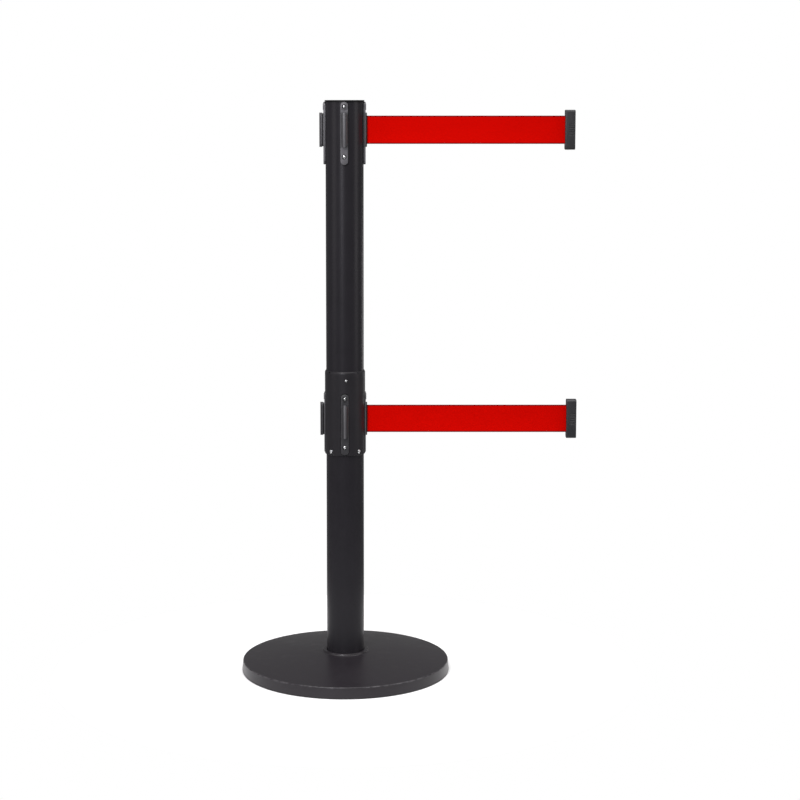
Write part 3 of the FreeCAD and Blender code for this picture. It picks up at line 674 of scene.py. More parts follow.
class Bench:
    """Modelling moves on one new object at a time, as they are made by hand."""

    @staticmethod
    def clear() -> None:
        """Leaves edit mode and deselects everything."""
        if bpy.context.object and bpy.context.object.mode != "OBJECT":
            bpy.ops.object.mode_set(mode="OBJECT")
        bpy.ops.object.select_all(action="DESELECT")

    @staticmethod
    def pick(piece: bpy.types.Object) -> None:
        """Selects one object and makes it active.

        Args:
            piece: the object.
        """
        Bench.clear()
        piece.select_set(True)
        bpy.context.view_layer.objects.active = piece

    @staticmethod
    def edit(piece: bpy.types.Object) -> None:
        """Opens one object with all of its mesh selected.

        Args:
            piece: the object.
        """
        Bench.pick(piece)
        bpy.ops.object.mode_set(mode="EDIT")
        bpy.ops.mesh.select_all(action="SELECT")

    @staticmethod
    def named(name: str) -> bpy.types.Object:
        """Names the active object and its mesh.

        Args:
            name: the name for both.

        Returns:
            The object.
        """
        piece = bpy.context.object
        piece.name = name
        piece.data.name = name
        return piece

    @staticmethod
    def settled(name: str) -> bpy.types.Object:
        """Moves the active object's place into its mesh, and names it."""
        bpy.ops.object.transform_apply(location=True, rotation=True, scale=True)
        return Bench.named(name)

    @staticmethod
    def weld() -> None:
        """Merges the doubles of the whole open mesh and leaves it all selected."""
        bpy.ops.mesh.select_all(action="SELECT")
        bpy.ops.mesh.remove_doubles(threshold=WELD)
        bpy.ops.mesh.select_all(action="SELECT")

    @staticmethod
    def modified(piece: bpy.types.Object, kind: str, **settings: Any) -> bpy.types.Object:
        """Adds a modifier and applies it.

        Args:
            piece: what is worked on.
            kind: the modifier's type.
            settings: its own properties.

        Returns:
            The piece.
        """
        Bench.pick(piece)
        change = piece.modifiers.new(kind.lower(), kind)
        for key, setting in settings.items():
            setattr(change, key, setting)
        bpy.ops.object.modifier_apply(modifier=change.name)
        return piece

    @staticmethod
    def trace(name: str, points: Sequence[Point]) -> bpy.types.Object:
        """Draws a chain of edges by extruding one vertex from point to point.

        Args:
            name: the new object's name.
            points: the places it goes through.

        Returns:
            The object, open in edit mode with its last vertex selected.
        """
        Bench.clear()
        bpy.ops.mesh.primitive_plane_add(size=MM)
        piece = Bench.named(name)
        bpy.ops.object.mode_set(mode="EDIT")
        bpy.ops.mesh.select_mode(type="VERT")
        bpy.ops.mesh.select_all(action="SELECT")
        bpy.ops.mesh.merge(type="CENTER")
        bpy.ops.transform.translate(value=points[0])
        for here, there in zip(points, points[1:]):
            step = Vector(there) - Vector(here)
            bpy.ops.mesh.extrude_region_move(TRANSFORM_OT_translate={"value": step})
        return piece

    @staticmethod
    def close(piece: bpy.types.Object) -> bpy.types.Object:
        """Welds doubles, turns the normals outward and leaves edit mode.

        Args:
            piece: the object, open in edit mode.

        Returns:
            The piece.
        """
        Bench.weld()
        bpy.ops.mesh.normals_make_consistent(inside=False)
        bpy.ops.object.mode_set(mode="OBJECT")
        return piece

    @staticmethod
    def turned(name: str, profile: Outline, steps: int) -> bpy.types.Object:
        """A solid of revolution about Z.

        Args:
            name: the new object's name.
            profile: (radius, height) points, which close on themselves or end on the axis.
            steps: how many facets it has round.

        Returns:
            The closed solid.
        """
        points = [(radius, 0.0, height) for radius, height in profile]
        if profile[0][0] > WELD:
            points.append(points[0])
        piece = Bench.trace(name, points)
        Bench.weld()
        bpy.ops.mesh.spin(steps=steps, angle=FULL_TURN, center=(0, 0, 0), axis=(0, 0, 1))
        return Bench.close(piece)

    @staticmethod
    def prism(name: str, outline: Outline, start: float, end: float, edge: float = 0.0,
              chords: int = 3) -> bpy.types.Object:
        """A flat shape pushed along +X, with its front edge rounded.

        Args:
            name: the new object's name.
            outline: (y, z) points.
            start: the back face's x.
            end: the front face's x.
            edge: the radius of the front edge, or 0 to leave it sharp.
            chords: how many chords round the edge.

        Returns:
            The closed solid.
        """
        points = [(start, y, z) for y, z in outline]
        piece = Bench.trace(name, [*points, points[0]])
        Bench.weld()
        bpy.ops.mesh.edge_face_add()
        bpy.ops.mesh.extrude_region_move(TRANSFORM_OT_translate={"value": (end - start, 0, 0)})
        if edge:
            Bench.choose_edges(piece, lambda a, b: min(a.x, b.x) > end - WELD)
            bpy.ops.mesh.bevel(offset=edge, segments=chords, affect="EDGES")
        return Bench.close(piece)

    @staticmethod
    def choose_edges(piece: bpy.types.Object, test: Callable[[Vector, Vector], bool]) -> None:
        """Selects some edges, in edit mode.

        Args:
            piece: the open object.
            test: says of an edge's two ends whether it is wanted.
        """
        bpy.ops.mesh.select_mode(type="EDGE")
        bpy.ops.mesh.select_all(action="DESELECT")
        mesh = bmesh.from_edit_mesh(piece.data)
        for edge in mesh.edges:
            edge.select = test(edge.verts[0].co, edge.verts[1].co)
        mesh.select_flush_mode()
        bmesh.update_edit_mesh(piece.data)

    @staticmethod
    def rod(name: str, radius: float, start: float, end: float, height: float = 0.0,
            sides: int = 40) -> bpy.types.Object:
        """A round rod along +X, for holes and grooves.

        Args:
            name: the rod's name.
            radius: its radius.
            start: the x of its back end.
            end: the x of its front end.
            height: how far it is above the origin.
            sides: how many facets it has round.

        Returns:
            The rod.
        """
        Bench.clear()
        bpy.ops.mesh.primitive_cylinder_add(
            vertices=sides, radius=radius, depth=end - start,
            location=((start + end) / 2, 0, height), rotation=(0, RIGHT_ANGLE, 0),
        )
        return Bench.settled(name)

    @staticmethod
    def post_round(name: str, radius: float, low: float, high: float, x: float = 0.0,
                   sides: int = 192) -> bpy.types.Object:
        """A round solid along Z, for hollowing what sits on the post.

        Args:
            name: the solid's name.
            radius: its radius.
            low: its lowest point.
            high: its highest point.
            x: how far its axis is from the origin.
            sides: how many facets it has round.

        Returns:
            The solid.
        """
        Bench.clear()
        bpy.ops.mesh.primitive_cylinder_add(
            vertices=sides, radius=radius, depth=high - low, location=(x, 0, (low + high) / 2),
        )
        return Bench.settled(name)

    @staticmethod
    def block(name: str, low: Sequence[float], high: Sequence[float]) -> bpy.types.Object:
        """A plain block, for a cut.

        Args:
            name: the block's name.
            low: its lowest corner.
            high: its highest corner.

        Returns:
            The block.
        """
        Bench.clear()
        middle = [(a + b) / 2 for a, b in zip(low, high)]
        bpy.ops.mesh.primitive_cube_add(size=1.0, location=middle)
        bpy.context.object.scale = [b - a for a, b in zip(low, high)]
        return Bench.settled(name)

    @staticmethod
    def combine(piece: bpy.types.Object, tools: Iterable[bpy.types.Object],
                operation: str = "DIFFERENCE") -> bpy.types.Object:
        """Cuts, joins or trims a piece with others, which are used up.

        Args:
            piece: what is worked on.
            tools: the other solids.
            operation: DIFFERENCE, UNION or INTERSECT.

        Returns:
            The piece.
        """
        for tool in tools:
            Bench.modified(piece, "BOOLEAN", operation=operation, solver="EXACT", object=tool)
            bpy.data.objects.remove(tool)
        return piece

    @staticmethod
    def rounded(piece: bpy.types.Object, radius: float, chords: int = 2,
                angle: float = 38.0) -> bpy.types.Object:
        """Rounds every sharp edge.

        Args:
            piece: what is worked on.
            radius: the edges' radius.
            chords: how many chords round an edge.
            angle: how far an edge has to turn to be rounded, in degrees.

        Returns:
            The piece.
        """
        turn = math.radians(angle)
        return Bench.modified(
            piece, "BEVEL", width=radius, segments=chords, limit_method="ANGLE", angle_limit=turn
        )

    @staticmethod
    def copied(piece: bpy.types.Object, name: str, azimuth: float = 0.0,
               offset: Point = (0.0, 0.0, 0.0)) -> bpy.types.Object:
        """A copy with its own mesh, turned about Z and moved.

        Args:
            piece: the master.
            name: the copy's name.
            azimuth: how far it turns about the post's axis, in degrees.
            offset: how far it then moves.

        Returns:
            The copy, with its place in its mesh.
        """
        Bench.pick(piece)
        bpy.ops.object.duplicate(linked=False)
        made = bpy.context.object
        made.rotation_euler = (0, 0, math.radians(azimuth))
        made.location = offset
        return Bench.settled(name)

    @staticmethod
    def joined(name: str, pieces: Sequence[bpy.types.Object]) -> bpy.types.Object:
        """Several separate solids in one object.

        Args:
            name: the object's name.
            pieces: the solids, which are used up.

        Returns:
            The object.
        """
        Bench.pick(pieces[0])
        for piece in pieces:
            piece.select_set(True)
        bpy.ops.object.join()
        return Bench.named(name)

    @staticmethod
    def discard(pieces: Iterable[bpy.types.Object]) -> None:
        """Removes masters that have been copied."""
        for piece in pieces:
            bpy.data.objects.remove(piece)


@dataclass
class Workshop:
    """Finishes pieces and hangs them on the frame."""

    frame: dict[str, Any]
    finishes: dict[str, bpy.types.Material]
    count: int = 0

    def finish(self, piece: bpy.types.Object, slot: str, material: bpy.types.Material, *nodes: str) -> None:
        """Smooths a piece's round faces, gives it its only material and logs it.

        Args:
            piece: the piece, in place.
            slot: the record's material slot; not used.
            material: the finish.
            nodes: the frame's nodes that it stands for.
        """
        Bench.pick(piece)
        bpy.ops.object.shade_smooth_by_angle(angle=SMOOTH_ANGLE)
        piece.data.materials.clear()
        piece.data.materials.append(material)
        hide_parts(*nodes)
        self.count += 1
        LOG.info("%2d %s: %d faces", self.count, piece.name, len(piece.data.polygons))

    def fit(self, piece: bpy.types.Object, slot: str, body: str, *nodes: str) -> None:
        """Dresses a piece in its slot's finish and hangs it on a body."""
        self.finish(piece, slot, self.finishes[slot], *nodes)
        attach(piece, body)

    def dress(self, slot: str, *nodes: str) -> None:
        """Gives the frame's own nodes a finish.

        Args:
            slot: the finish's name.
            nodes: the nodes that keep their own shape.
        """
        material = self.finishes[slot]
        for name in nodes:
            node = self.frame["nodes"][name]
            if not node.material_slots:
                node.data.materials.append(material)
            for place in node.material_slots:
                place.material = material
            LOG.info("   %s: %s", name, slot)


# Fasteners

@dataclass
class PanScrew:
    """A cross-recessed pan-head screw along +X, its head's seat at a distance from the axis."""

    seat: float
    tip: float
    head_radius: float = 2.7 * MM
    head_height: float = 1.6 * MM
    shank_radius: float = 1.45 * MM
    thread_pitch: float = 0.8 * MM
    thread_depth: float = 0.22 * MM
    recess_width: float = 0.62 * MM
    recess_depth: float = 0.95 * MM
    sides: int = 36

    def profile(self) -> Outline:
        """The head's dome, its underside and a threaded shank.

        Returns:
            The (radius, height) points, from the dome's top to the tip.
        """
        shoulder = 0.45 * self.head_height
        crown = arc_through(
            (0.0, self.head_height),
            (0.62 * self.head_radius, 0.86 * self.head_height),
            (self.head_radius, shoulder),
            7,
        )
        points = [*crown, (self.head_radius, 0.0), (self.shank_radius, 0.0)]
        length = self.seat - self.tip
        turns = int((length - 2 * MM) / self.thread_pitch)
        for turn in range(turns):
            down = -1.2 * MM - turn * self.thread_pitch
            points.append((self.shank_radius, down))
            points.append((self.shank_radius - self.thread_depth, down - self.thread_pitch / 2))
        points.append((self.shank_radius * 0.7, -length + 0.4 * MM))
        points.append((0.0, -length))
        return points

    def build(self, name: str) -> bpy.types.Object:
        """Turns the screw upright, cuts its recess and lays it along +X.

        Args:
            name: the screw's name.

        Returns:
            The screw, facing +X at height 0.
        """
        screw = Bench.turned(name, self.profile(), self.sides)
        reach = 0.58 * self.head_radius
        bottom = self.head_height - self.recess_depth
        half = self.recess_width / 2
        arms = [
            Bench.block("arm", (-reach, -half, bottom), (reach, half, 3 * self.head_height)),
            Bench.block("arm", (-half, -reach, bottom), (half, reach, 3 * self.head_height)),
        ]
        Bench.combine(screw, arms)
        Bench.pick(screw)
        screw.rotation_euler = (0, RIGHT_ANGLE, 0)
        screw.location = (self.seat, 0, 0)
        return Bench.settled(name)


def screw_set(name: str, screw: PanScrew, places: Iterable[tuple[float, float]]) -> bpy.types.Object:
    """Equal screws at several places, as one piece.

    Args:
        name: the piece's name.
        screw: the screw that is copied.
        places: the azimuth and height of each.

    Returns:
        The set.
    """
    master = screw.build(name + "_master")
    copies = [
        Bench.copied(master, f"{name}_{number}", azimuth, (0.0, 0.0, height))
        for number, (azimuth, height) in enumerate(places)
    ]
    Bench.discard([master])
    return Bench.joined(name, copies)


# Base

@dataclass
class Base:
    """The weighted foot: a domed steel cover over an iron disc, on a rubber ring."""

    shop: Workshop
    skin: float = 1.5 * MM
    rim_top_radius: float = 176.2 * MM
    rim_height: float = 19.6 * MM
    rim_roll: float = 1.6 * MM
    dome_height: float = 33.2 * MM
    dome_middle: float = 110.0 * MM
    dome_share: float = 0.56
    dome_end: float = 40.6 * MM
    neck_radius: float = 38.6 * MM
    neck_lip: float = 1.2 * MM
    neck_fillet: float = 2.2 * MM
    cup_radius: float = 32.15 * MM
    seat_height: float = 24.0 * MM
    seat_skin: float = 1.2 * MM
    bolt_hole: float = 7.0 * MM
    ring_inner: float = 150.0 * MM
    ring_edge: float = 0.6 * MM
    ring_lip: float = 1.3 * MM
    rib_margin: float = 2.0 * MM
    rib_flank: float = 0.5 * MM
    groove_width: float = 1.2 * MM
    groove_depth: float = 0.9 * MM
    grip_ribs: int = 5
    facets: int = 240

    def build(self) -> None:
        """Builds and dresses the foot."""
        self._cover()
        self._ring()
        self.shop.dress("cast_iron", "base_weight")
        self.shop.dress("zinc_steel", "base_bolt", "base_washer")
        self.shop.dress("spring_steel", "base_spring_washer")

    def _dome(self, sink: float) -> tuple[float, float]:
        """The middle of the dome's curve, on the outer face or sunk under it."""
        rise = self.dome_height - self.rim_height
        return self.dome_middle, self.rim_height + self.dome_share * rise - sink

    def _outer(self) -> Outline:
        """The cover's outer face.

        Returns:
            The (radius, height) points, up the rim, over the dome and down the neck's cup.
        """
        low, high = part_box("base_cover")
        roll, lip, fillet = self.rim_roll, self.neck_lip, self.neck_fillet
        dome_foot = (self.rim_top_radius - roll, self.rim_height)
        dome_top = (self.dome_end, self.dome_height)
        foot = (self.neck_radius + fillet, self.dome_height + 0.7 * fillet)
        points = [(high.x, low.z)]
        points += arc((self.rim_top_radius - roll, self.rim_height - roll), roll, 0, 90, 6)
        points += arc_through(dome_foot, self._dome(0.0), dome_top, 30)[1:-1]
        points += arc(foot, 0.9 * fillet, 250, 190, 4)
        points += arc((self.neck_radius - lip, high.z - lip), lip, 0, 90, 5)
        points += arc((self.cup_radius + lip, high.z - lip), lip, 90, 180, 5)
        return points

    def _cover(self) -> None:
        """The pressed cover: outer face, seat for the post and the inner face."""
        low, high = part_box("base_cover")
        seat_top = self.seat_height + self.seat_skin
        wall = self.cup_radius + self.seat_skin
        inner_neck = self.neck_radius - self.skin
        dome_start = (self.dome_end, self.dome_height - self.skin)
        dome_end = (self.rim_top_radius - self.rim_roll - MM, self.rim_height - self.skin)
        dome_under = arc_through(dome_start, self._dome(self.skin), dome_end, 16)
        inside = [
            (self.cup_radius, seat_top),
            (self.bolt_hole, seat_top),
            (self.bolt_hole, self.seat_height),
            (wall, self.seat_height),
            (wall, high.z - self.skin),
            (inner_neck, high.z - self.skin),
            *dome_under,
            (self.rim_top_radius - 1.8 * MM, self.rim_height - 3.5 * MM),
            (high.x - self.skin, low.z),
        ]
        cover = Bench.turned("base_shell", self._outer() + inside, self.facets)
        self.shop.fit(cover, "base_coat", Body.STAND.at(), "base_cover")

    def _ring(self) -> None:
        """The rubber ring, with grip ribs beneath."""
        low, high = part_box("floor_ring")
        inner, edge, bottom = self.ring_inner, self.ring_edge, low.z + self.groove_depth
        lip_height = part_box("base_cover")[0].z - 0.05 * MM
        lip = high.x - self.ring_lip
        pitch = (high.x - 3.0 * MM - inner - self.rib_margin) / self.grip_ribs
        points = [(inner, high.z), (inner, low.z + 0.4 * MM), (inner + 0.4 * MM, low.z)]
        for rib in range(self.grip_ribs):
            start = inner + self.rib_margin + rib * pitch
            groove = start + self.rib_flank
            points += [(start, low.z), (groove, bottom), (groove + self.groove_width, bottom)]
            points.append((groove + self.groove_width + self.rib_flank, low.z))
        points += arc((high.x - edge, low.z + edge), edge, 270, 360, 3)
        points += [(high.x, lip_height), (lip, lip_height), (lip, high.z)]
        ring = Bench.turned("floor_ring_ribbed", points, self.facets)
        self.shop.fit(ring, "rubber", Body.STAND.at(), "floor_ring")


# Post

@dataclass
class Post:
    """The tube with its cap, its foot plug and the sleeve round the lower head."""

    shop: Workshop
    wall: float = 1.5 * MM
    screw_hole: float = 1.6 * MM
    grub_hole: float = 1.6 * MM
    sleeve_inner: float = 31.85 * MM
    sleeve_edge: float = 4.2 * MM
    sleeve_top_radius: float = 32.4 * MM
    foot_screw_rise: float = 6.4 * MM
    foot_screw_azimuths: tuple[float, ...] = (45.0, 135.0, 225.0, 315.0)
    head_screw_drop: float = 14.7 * MM
    head_screw_azimuths: tuple[float, ...] = (94.0, 274.0)
    grub_drop: float = 2.3 * MM
    grub_azimuths: tuple[float, ...] = (40.0, 130.0, 220.0, 310.0)
    spot_face_radius: float = 4.2 * MM
    spot_face_depth: float = 0.8 * MM
    deep_seat_radius: float = 3.3 * MM
    deep_seat: float = 1.5 * MM
    window_gap: float = 0.9 * MM
    screw_tip: float = 28.7 * MM
    cap_edge: float = 0.9 * MM
    cap_dish: float = 0.5 * MM
    cap_wall: float = 2.2 * MM
    cap_play: float = 0.15 * MM
    facets: int = 144

    def build(self, heads: Sequence["Head"]) -> None:
        """Builds the tube, cap, sleeve and the sleeve's screws.

        Args:
            heads: the two belt heads, whose openings go through the tube.
        """
        self._tube(heads)
        self._cap()
        self._sleeve(next(head for head in heads if head.level is Level.LOWER))
        self._screws()
        self.shop.dress("inner_plastic", "foot_plug")

    def _foot_places(self) -> list[tuple[float, float]]:
        """The azimuth and height of each of the sleeve's lower screws."""
        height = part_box("mid_sleeve")[0].z + self.foot_screw_rise
        return [(azimuth, height) for azimuth in self.foot_screw_azimuths]

    def _head_places(self) -> list[tuple[float, float]]:
        """The azimuth and height of each of the sleeve's upper screws."""
        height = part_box("mid_sleeve")[1].z - self.head_screw_drop
        return [(azimuth, height) for azimuth in self.head_screw_azimuths]

    def _threaded(self, start: float, end: float) -> list[bpy.types.Object]:
        """Cutters for the holes that the sleeve's screws and grub screws go through.

        Args:
            start: where a cutter begins, from the axis.
            end: where it ends.

        Returns:
            The cutters.
        """
        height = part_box("mid_sleeve")[1].z - self.grub_drop
        grubs = [(azimuth, height) for azimuth in self.grub_azimuths]
        screws = self._foot_places() + self._head_places()
        cutters = self._holes(self.screw_hole, screws, start, end)
        return cutters + self._holes(self.grub_hole, grubs, start, end)

    def _holes(self, radius: float, places: Iterable[tuple[float, float]], start: float,
               end: float) -> list[bpy.types.Object]:
        """Radial cutters at several places.

        Args:
            radius: the hole's radius.
            places: the azimuth and height of each.
            start: where the cutter begins, from the axis.
            end: where it ends.

        Returns:
            The cutters.
        """
        master = Bench.rod("hole", radius, start, end)
        cutters = [Bench.copied(master, "hole", azimuth, (0, 0, height)) for azimuth, height in places]
        Bench.discard([master])
        return cutters

    def _tube(self, heads: Sequence["Head"]) -> None:
        """The steel tube, ringed so that its long faces stay clear of its openings.

        Args:
            heads: the two belt heads, whose openings go through it.
        """
        low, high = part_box("post_tube")
        inner = high.x - self.wall
        rings = sorted({edge for head in heads for edge in head.rings()} | {low.z + 30 * MM})
        rings = [height for height in rings if low.z < height < high.z - MM]
        chamfer = 0.3 * MM
        outer = [(high.x, low.z), *((high.x, height) for height in rings)]
        top = [(high.x, high.z - chamfer), (high.x - chamfer, high.z), (inner, high.z)]
        inside = [(inner, height) for height in reversed(rings)]
        tube = Bench.turned("post_shell", [*outer, *top, *inside, (inner, low.z)], self.facets)
        cutters = [cutter for head in heads for cutter in head.tube_cutters()]
        cutters += self._threaded(0.8 * inner, 1.3 * high.x)
        Bench.combine(tube, cutters)
        self.shop.fit(tube, "post_coat", Body.STAND.at(), "post_tube")

    def _cap(self) -> None:
        """The moulded cap, with a shallow dish in its top and a spigot inside the tube."""
        low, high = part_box("top_cap")
        tube_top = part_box("post_tube")[1].z
        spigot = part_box("post_tube")[1].x - self.wall - self.cap_play
        edge, dish, bore = self.cap_edge, self.cap_dish, spigot - self.cap_wall
        points = [(0.0, tube_top), (bore, tube_top), (bore, low.z)]
        points += [(spigot - 0.6 * MM, low.z), (spigot, low.z + 0.8 * MM), (spigot, tube_top)]
        points += [(high.x - 0.2 * MM, tube_top), (high.x, tube_top + 0.2 * MM)]
        points += arc((high.x - edge, high.z - edge), edge, 0, 90, 5)
        points += [(high.x - 3.0 * MM, high.z), (high.x - 4.2 * MM, high.z - dish), (0.0, high.z - dish)]
        cap = Bench.turned("cap_moulding", points, self.facets)
        self.shop.fit(cap, "cap_plastic", Body.STAND.at(), "top_cap")

    def _sleeve(self, head: "Head") -> None:
        """The sleeve, with a window round each plate and a seat for each screw.

        Args:
            head: the lower belt head, which it surrounds.
        """
        low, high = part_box("mid_sleeve")
        chamfer = 0.5 * MM
        shoulder = high.z - self.sleeve_edge
        steps = 24
        climb = (shoulder - low.z - chamfer) / steps
        points = [(self.sleeve_inner, low.z), (high.x - chamfer, low.z)]
        points += [(high.x, low.z + chamfer + climb * step) for step in range(steps + 1)]
        crest = (high.x - 0.4 * MM, shoulder + 0.55 * self.sleeve_edge)
        points += arc_through((high.x, shoulder), crest, (self.sleeve_top_radius, high.z), 5)[1:]
        points += [(self.sleeve_inner, high.z)]
        points += [(self.sleeve_inner, shoulder - climb * step) for step in range(steps)]
        sleeve = Bench.turned("sleeve_shell", points, self.facets)
        end = 1.3 * high.x
        cutters = head.sleeve_cutters(self.window_gap) + self._threaded(0.8 * high.x, end)
        shallow, deep = high.x - self.spot_face_depth, high.x - self.deep_seat
        cutters += self._holes(self.spot_face_radius, self._foot_places(), shallow, end)
        cutters += self._holes(self.deep_seat_radius, self._head_places(), deep, end)
        Bench.combine(sleeve, cutters)
        self.shop.fit(sleeve, "sleeve_coat", Body.STAND.at(), "mid_sleeve")

    def _screws(self) -> None:
        """The sleeve's pan screws; the grub screws keep the frame's shape."""
        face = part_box("mid_sleeve")[1].x
        low_screw = PanScrew(face - self.spot_face_depth, self.screw_tip, 3.0 * MM, 1.9 * MM)
        high_screw = PanScrew(face - self.deep_seat, self.screw_tip, 2.1 * MM, 1.5 * MM)
        low_set = screw_set("sleeve_low_screws", low_screw, self._foot_places())
        high_set = screw_set("sleeve_high_screws", high_screw, self._head_places())
        screws = Bench.joined("sleeve_pan_screws", [low_set, high_set])
        self.shop.fit(screws, "zinc_steel", Body.STAND.at(), "sleeve_screws")
        self.shop.dress("black_screw", "sleeve_grub_screws")


# Belt heads

@dataclass
class Head:
    """One belt head: three receivers, the exit plate and their screws round the tube."""

    shop: Workshop
    level: Level
    plate_width: float = 12.5 * MM
    plate_back: float = 29.0 * MM
    plate_face: float = 35.2 * MM
    plate_low: float = -57.4 * MM
    plate_high: float = 46.2 * MM
    plate_edge: float = 0.9 * MM
    boss_rise: float = 0.8 * MM
    rail_half: float = 28.4 * MM
    rail_width: float = 9.5 * MM
    rail_back: float = 37.2 * MM
    rail_crown: float = 42.0 * MM
    rail_shoulder: float = 39.0 * MM
    neck_width: float = 5.0 * MM
    exit_width: float = 11.5 * MM
    exit_face: float = 37.4 * MM
    slot_width: float = 2.4 * MM
    screw_heights: tuple[float, float] = (38.2 * MM, -44.4 * MM)
    screw_seat: float = 33.5 * MM
    screw_tip: float = 22.0 * MM
    counterbore: float = 3.8 * MM
    screw_hole: float = 1.6 * MM
    flare: float = 0.8 * MM
    inside: float = 20.0 * MM
    outside: float = 45.0 * MM

    @property
    def height(self) -> float:
        """The height of the belt's middle."""
        return head_height(self.level)

    @property
    def belt_half(self) -> float:
        """Half of the belt's width."""
        low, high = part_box(f"belt_{self.level.value}")
        return (high.z - low.z) / 2

    def rings(self) -> list[float]:
        """Heights at which the tube's mesh is ringed round this head."""
        span = self.plate_high - self.plate_low
        return [self.height + self.plate_low + span * step / 12 for step in range(13)]

    def tube_cutters(self) -> list[bpy.types.Object]:
        """What is cut through the tube.

        Returns:
            Cutters for the belt's slot and the plates' screw holes.
        """
        half, reach = 3.0 * MM, 26.0 * MM
        low = (self.inside, -half, self.height - reach)
        slot = Bench.block("slot", low, (self.outside, half, self.height + reach))
        master = Bench.rod("hole", self.screw_hole, self.inside, self.outside)
        holes = [
            Bench.copied(master, "hole", way.value, (0, 0, self.height + rise))
            for way in Way for rise in self.screw_heights
        ]
        Bench.discard([master])
        return [slot, *holes]

    def sleeve_cutters(self, gap: float) -> list[bpy.types.Object]:
        """The windows round this head's plates.

        Args:
            gap: how much wider than the plate a window is, on each side.

        Returns:
            The cutters.
        """
        outline = pill_outline(self.plate_width + 2 * gap, self.plate_low - gap, self.plate_high + gap)
        master = Bench.prism("window", outline, self.inside, self.outside)
        cutters = [Bench.copied(master, "window", way.value, (0, 0, self.height)) for way in Way]
        Bench.discard([master])
        return cutters

    def build(self) -> None:
        """Builds the plates, the rails and the screws, and dresses the guide pins."""
        name = self.level.value
        receiver = self._receiver()
        for way in (Way.FRONT, Way.LEFT, Way.BACK):
            node = f"receiver_{way.name.lower()}_{name}"
            piece = Bench.copied(receiver, node + "_moulding", way.value, (0, 0, self.height))
            self.shop.fit(piece, "receiver_plastic", Body.STAND.at(), node)
        Bench.discard([receiver])
        master = self._exit_plate()
        plate = Bench.copied(master, f"exit_plate_{name}_moulding", Way.EXIT.value, (0, 0, self.height))
        Bench.discard([master])
        self.shop.fit(plate, "receiver_plastic", Body.STAND.at(), f"exit_plate_{name}")
        places = [(way.value, self.height + rise) for way in Way for rise in self.screw_heights]
        screws = screw_set(f"plate_screws_{name}", PanScrew(self.screw_seat, self.screw_tip), places)
        self.shop.fit(screws, "zinc_steel", Body.STAND.at(), f"head_screws_{name}")
        self.shop.dress("zinc_steel", f"guide_pins_{name}")

    def _blank(self) -> bpy.types.Object:
        """The plate that every side of the head has.

        Returns:
            A plate with half-round ends and the raised boss round its upper screw.
        """
        outline = pill_outline(self.plate_width, self.plate_low, self.plate_high)
        plate = Bench.prism("plate", outline, self.plate_back, self.plate_face, self.plate_edge)
        radius = self.plate_width / 2 - 0.8 * MM
        ring = arc((0, self.screw_heights[0]), radius, 0, 360, 36)[:-1]
        start, end = self.plate_face - 0.5 * MM, self.plate_face + self.boss_rise
        boss = Bench.prism("boss", ring, start, end, 0.5 * MM)
        return Bench.combine(plate, [boss], "UNION")

    def _cuts(self) -> list[bpy.types.Object]:
        """What is cut out of every plate.

        Returns:
            Cutters for the post's round, the screw holes and their counterbores.
        """
        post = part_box("post_tube")[1].x + 0.05 * MM
        cutters = [Bench.post_round("post", post, self.plate_low - MM, self.plate_high + MM)]
        for height in self.screw_heights:
            cutters.append(Bench.rod("hole", self.screw_hole, self.inside, self.outside, height))
            cutters.append(Bench.rod("seat", self.counterbore, self.screw_seat, self.outside, height))
        return cutters

    def _receiver(self) -> bpy.types.Object:
        """The plate that a clip hooks on.

        Returns:
            A plate with a neck and the undercut rail with its rounded crown.
        """
        neck = Bench.prism(
            "neck", pill_outline(self.neck_width, MM - self.rail_half, self.rail_half - MM),
            self.plate_face - MM, self.rail_back + 0.5 * MM,
        )
        rail = Bench.prism(
            "rail", pill_outline(self.rail_width, -self.rail_half, self.rail_half),
            self.rail_back, self.rail_crown + MM,
        )
        rise = self.rail_crown - self.rail_shoulder
        radius = ((self.rail_width / 2) ** 2 + rise ** 2) / (2 * rise)
        crown = Bench.post_round(
            "crown", radius, -self.rail_half - MM, self.rail_half + MM, self.rail_crown - radius, 72
        )
        Bench.combine(rail, [crown], "INTERSECT")
        Bench.rounded(rail, 0.45 * MM, 3, 42.0)
        plate = Bench.combine(self._blank(), [neck, rail], "UNION")
        return Bench.combine(plate, self._cuts())

    def _exit_plate(self) -> bpy.types.Object:
        """The plate that the belt leaves through.

        Returns:
            A plate with a raised frame round a flared slot.
        """
        outline = pill_outline(self.exit_width, -self.rail_half, self.rail_half)
        boss = Bench.prism("frame", outline, self.plate_face - MM, self.exit_face, 1.0 * MM)
        plate = Bench.combine(self._blank(), [boss], "UNION")
        half, reach = self.slot_width / 2, self.belt_half + MM
        slot = Bench.block("slot", (self.inside, -half, -reach), (self.outside, half, reach))
        flare_half, flare_reach = half + self.flare, reach + self.flare
        flare_low = (self.exit_face - self.flare, -flare_half, -flare_reach)
        flare = Bench.block("flare", flare_low, (self.outside, flare_half, flare_reach))
        Bench.rounded(flare, 0.7 * MM, 2)
        return Bench.combine(plate, [*self._cuts(), slot, flare])


# Belt and clip

